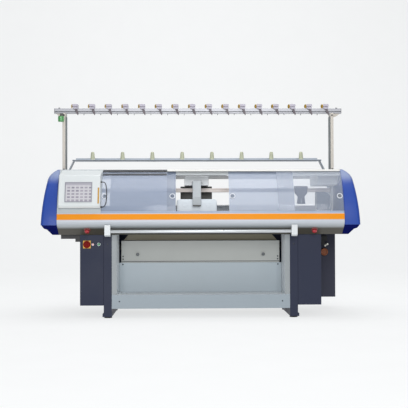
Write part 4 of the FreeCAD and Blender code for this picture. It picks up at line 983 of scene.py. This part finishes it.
# Its handle is a bar that narrows towards the hand.
for corner in bmesh.ops.create_cube(dial, size=1.0)["verts"]:
    x, y, z = corner.co
    corner.co = (dial_x + x * (0.009 if y > 0 else 0.006), dial_y - 0.0175 + y * 0.017,
                 switch_z + z * 0.034)
settle(softened(stand_alone("isolator_knob", dial, isolator_red), 0.0008), "switch_knob")

# -------- masts and top rail
# Rectangular tube masts in cream paint with pressed gussets, carrying an extruded
# aluminium rail with a slot along its face.
mast_cream = moulded("cream_mast_paint", "C2BCB3", grain=0.006)
eased("masts_tube", "masts", 0.0025, mast_cream)
# Thin dark grey sheets on the masts' inner sides: painted shade for the shaded inner faces.
inner_side_shades = bmesh.new()
for x in (-1.1215, 1.0919):
    run([(-0.0505, 1.203), (0.0505, 1.203), (0.0505, 1.648), (-0.0505, 1.648)],
        x, x + 0.0016, mesh=inner_side_shades)
extra("mast_cable_ducts", inner_side_shades, moulded("grey_inner_side_shade", "60686A", 0.5), "machine")
low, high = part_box("top_rail")
slot_low, slot_high, slot_deep = low.z + 0.010, low.z + 0.017, 0.006
front = low.y
half = [(front, low.z), (front, slot_low), (front + slot_deep, slot_low),
        (front + slot_deep, slot_high), (front, slot_high), (front, high.z),
        (-0.004, high.z), (-0.004, high.z - 0.005)]
rail = run(half + [(-y, z) for y, z in reversed(half)], low.x + 0.003, high.x - 0.003)
settle(stand_alone("top_rail_extruded", rail, ground("anodised_rail_alloy", "9C9DA2", 0.46)),
       "top_rail")
slot_strip = run([
    (front + 0.0012, slot_low), (front + 0.0012, slot_high),
    (front + slot_deep - 0.0002, slot_high), (front + slot_deep - 0.0002, slot_low)],
    low.x + 0.003, high.x - 0.003)
extra("rail_slot_strip", slot_strip, seal_rubber, "machine")
plugs = bmesh.new()
for x in (low.x, high.x - 0.003):
    run([(front, low.z), (front, high.z), (-front, high.z), (-front, low.z)], x, x + 0.003,
        mesh=plugs)
extra("rail_end_plugs", plugs, moulded("black_end_plug", "2B2C30", 0.5, grain=0.006), "machine")

# Two bolts in the front of each mast, and one on each end of the rail.
bolts = bmesh.new()
for x in (-1.134, 1.106):
    for z in (1.204, 1.655):
        turned([(6.5, 0), (6.5, 4), (5.2, 5), (2, 5)], facing((x, -0.0525, z)), 12, mesh=bolts)
for x in (-1.180, 1.150):
    turned([(8, 0), (8, 6), (6, 8), (2, 8)], facing((x, 0, high.z), (0, 0, 1)), 12, mesh=bolts)
extra("mast_bolts", bolts, screw_zinc, "machine", 25)

# Signal lamp: a green polycarbonate lens with moulded ribs on a small steel bracket.
low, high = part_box("signal_lamp")
lens_green = moulded("green_polycarbonate", "55955A", 0.22, grain=0.01, coat=0.3)
lens_z = 1.643
lens_x = low.x + 0.025
lens = turned([
    (22, -46), (24.5, -44), (25, -40), (23.8, -34), (25, -28), (23.8, -22), (25, -16),
    (23.8, -10), (25, -6), (22, 0)], Matrix.Translation((lens_x, low.y + 0.025, lens_z)), 48)
settle(stand_alone("signal_lamp_lens", lens, lens_green, 50), "signal_lamp")
hanger = run([
    (low.y + 0.017, lens_z - 0.001), (low.y + 0.017, high.z), (high.y, high.z),
    (high.y, lens_z + 0.002)], lens_x - 0.008, lens_x + 0.016)
extra("signal_lamp_bracket", hanger, dark_cover, "machine")

# -------- tension units
# Sixteen yarn tension and stop-motion units along the rail: die-cast bodies with a pair
# of brass tension discs, and a dark stop lever hung from a pin in front.
unit_first, unit_pitch, unit_count = -1.042, 0.140, 16
rail_top = 1.716
unit_alloy = moulded("die_cast_unit", "B0ACB9", 0.45, grain=0.003)
disc_brass = moulded("brass_tension_disc", "C7A54A", 0.3, metallic=0.85)
lever_paint = moulded("dark_lever_enamel", "5E565C", 0.5)

shell = run([
    (-0.020, 0.0), (-0.020, 0.024), (-0.012, 0.034), (0.014, 0.034), (0.020, 0.028),
    (0.020, 0.0)], -0.0215, 0.0215)
for x in (-0.0185, 0.0155):
    run([
        (-0.039, 0.013), (-0.039, 0.0225), (-0.0361, 0.0225), (-0.0361, 0.0149),
        (-0.0299, 0.0149), (-0.0299, 0.0225), (-0.019, 0.024), (-0.019, 0.013)], x, x + 0.003,
        mesh=shell)
# The pressed guard in front of the body ends above the pin, clear of the lever's swing.
flat_plate([
    (-0.0245, 0.0345), (0.0210, 0.0345), (0.0245, 0.0180), (0.0240, 0.0152), (-0.0242, 0.0152)],
    -0.0402, -0.0388, mesh=shell)
shells = row_of("tension_bodies", shell, unit_count, (unit_first, 0, rail_top), unit_pitch,
                unit_alloy)
settle(softened(shells, 0.0008), "tension_units")

discs = turned([
    (3, -8), (3, -5), (12, -4.2), (17, -6.2), (17.2, -5.6), (12.5, -3), (3, -2.2), (3, 4)],
    facing((-0.0255, -0.0125, 0.0185), (0.88, 0.47, 0)), 32)
turned([(17.2, -2.4), (12.5, -4), (12.5, -3.2), (17.2, -1.6)],
       facing((-0.0215, 0, 0.0188), (1, 0, 0)), 32, looped=True, mesh=discs)
disc_row = row_of("tension_discs", discs, unit_count, (unit_first, 0, rail_top), unit_pitch,
                  disc_brass)
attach(disc_row, "machine")

eyelet = turned([(3, -2), (6.2, -2), (7.4, 0), (6.2, 2), (3, 2), (2.2, 0)],
                facing((0, 0, -0.0075), (1, 0, 0)), 20, looped=True)
eyelets = row_of("rail_eyelets", eyelet, unit_count - 1,
                 (unit_first + unit_pitch / 2, -0.010, 1.674), unit_pitch,
                 moulded("glazed_eyelet", "4A4C52", 0.3))
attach(eyelets, "machine")

slope = math.radians(20)
head_x, head_z = -0.0052, 0.0022
arm = flat_plate([
    (head_x + along * math.sin(slope) + across * math.cos(slope),
     head_z - along * math.cos(slope) + across * math.sin(slope))
    for along, across in ((0.0, -0.0085), (0.0, 0.0085), (0.040, 0.0095), (0.074, 0.0070),
                          (0.083, 0.001), (0.083, -0.003), (0.060, -0.0090))],
    -0.0022, 0.0022)
turned([(2.8, -18.5), (2.8, 18.5)], facing((0, 0, 0), (1, 0, 0)), 20, mesh=arm)
lever_pin = (unit_first, -0.033, 1.734)
arms = row_of("stop_arms", arm, unit_count, lever_pin, unit_pitch, lever_paint)
settle(arms, "stop_levers")

# Each lever turns on a pale sleeve and carries a pale shroud on its head.
shroud = flat_plate([
    (-0.0240, -0.0080), (0.0232, -0.0080), (0.0190, -0.0240), (-0.0120, -0.0240),
    (-0.0230, -0.0120)], -0.0040, -0.0021)
turned([(5.5, -15), (5.5, 15)], facing((0, 0, 0), (1, 0, 0)), 20, mesh=shroud)
shrouds = row_of("lever_shrouds", shroud, unit_count, lever_pin, unit_pitch, unit_alloy)
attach(shrouds, "stop_levers")

# -------- cone table
# Folded sheet tray on two bent legs over the crown, with eight moulded cone holders.
table_sheet = powder("tray", "A8B1BC", 0.38, grain=0.006, drift=0.04)
eased("cone_tray", "bobbin_table", 0.0008, table_sheet)
low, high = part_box("bobbin_table")
# A dark strip along the tray's front edge: painted shade for its shaded front edge.
edge_shade_strip = run([
    (low.y - 0.0008, 1.2699), (low.y - 0.0008, 1.2756), (low.y - 0.0001, 1.2756),
    (low.y - 0.0001, 1.2699)], -1.054, 1.004)
extra("tray_edging", edge_shade_strip, seal_rubber, "machine")
holder_plastic = moulded("cream_polypropylene", "B3B69E", 0.5, grain=0.006)
low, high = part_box("cone_pins")
holder = turned([
    (20.8, 0), (20.8, 3), (19.5, 5), (15, 58), (13.6, 66), (10.5, 71.2), (5.5, 72.8), (2, 73)],
    Matrix.Identity(4), 32)
holder_reach = 0.0205
first_x = low.x + holder_reach
settle(row_of("cone_holders", holder, 8, (first_x, 0, low.z),
              (high.x - holder_reach - first_x) / 7, holder_plastic), "cone_pins")
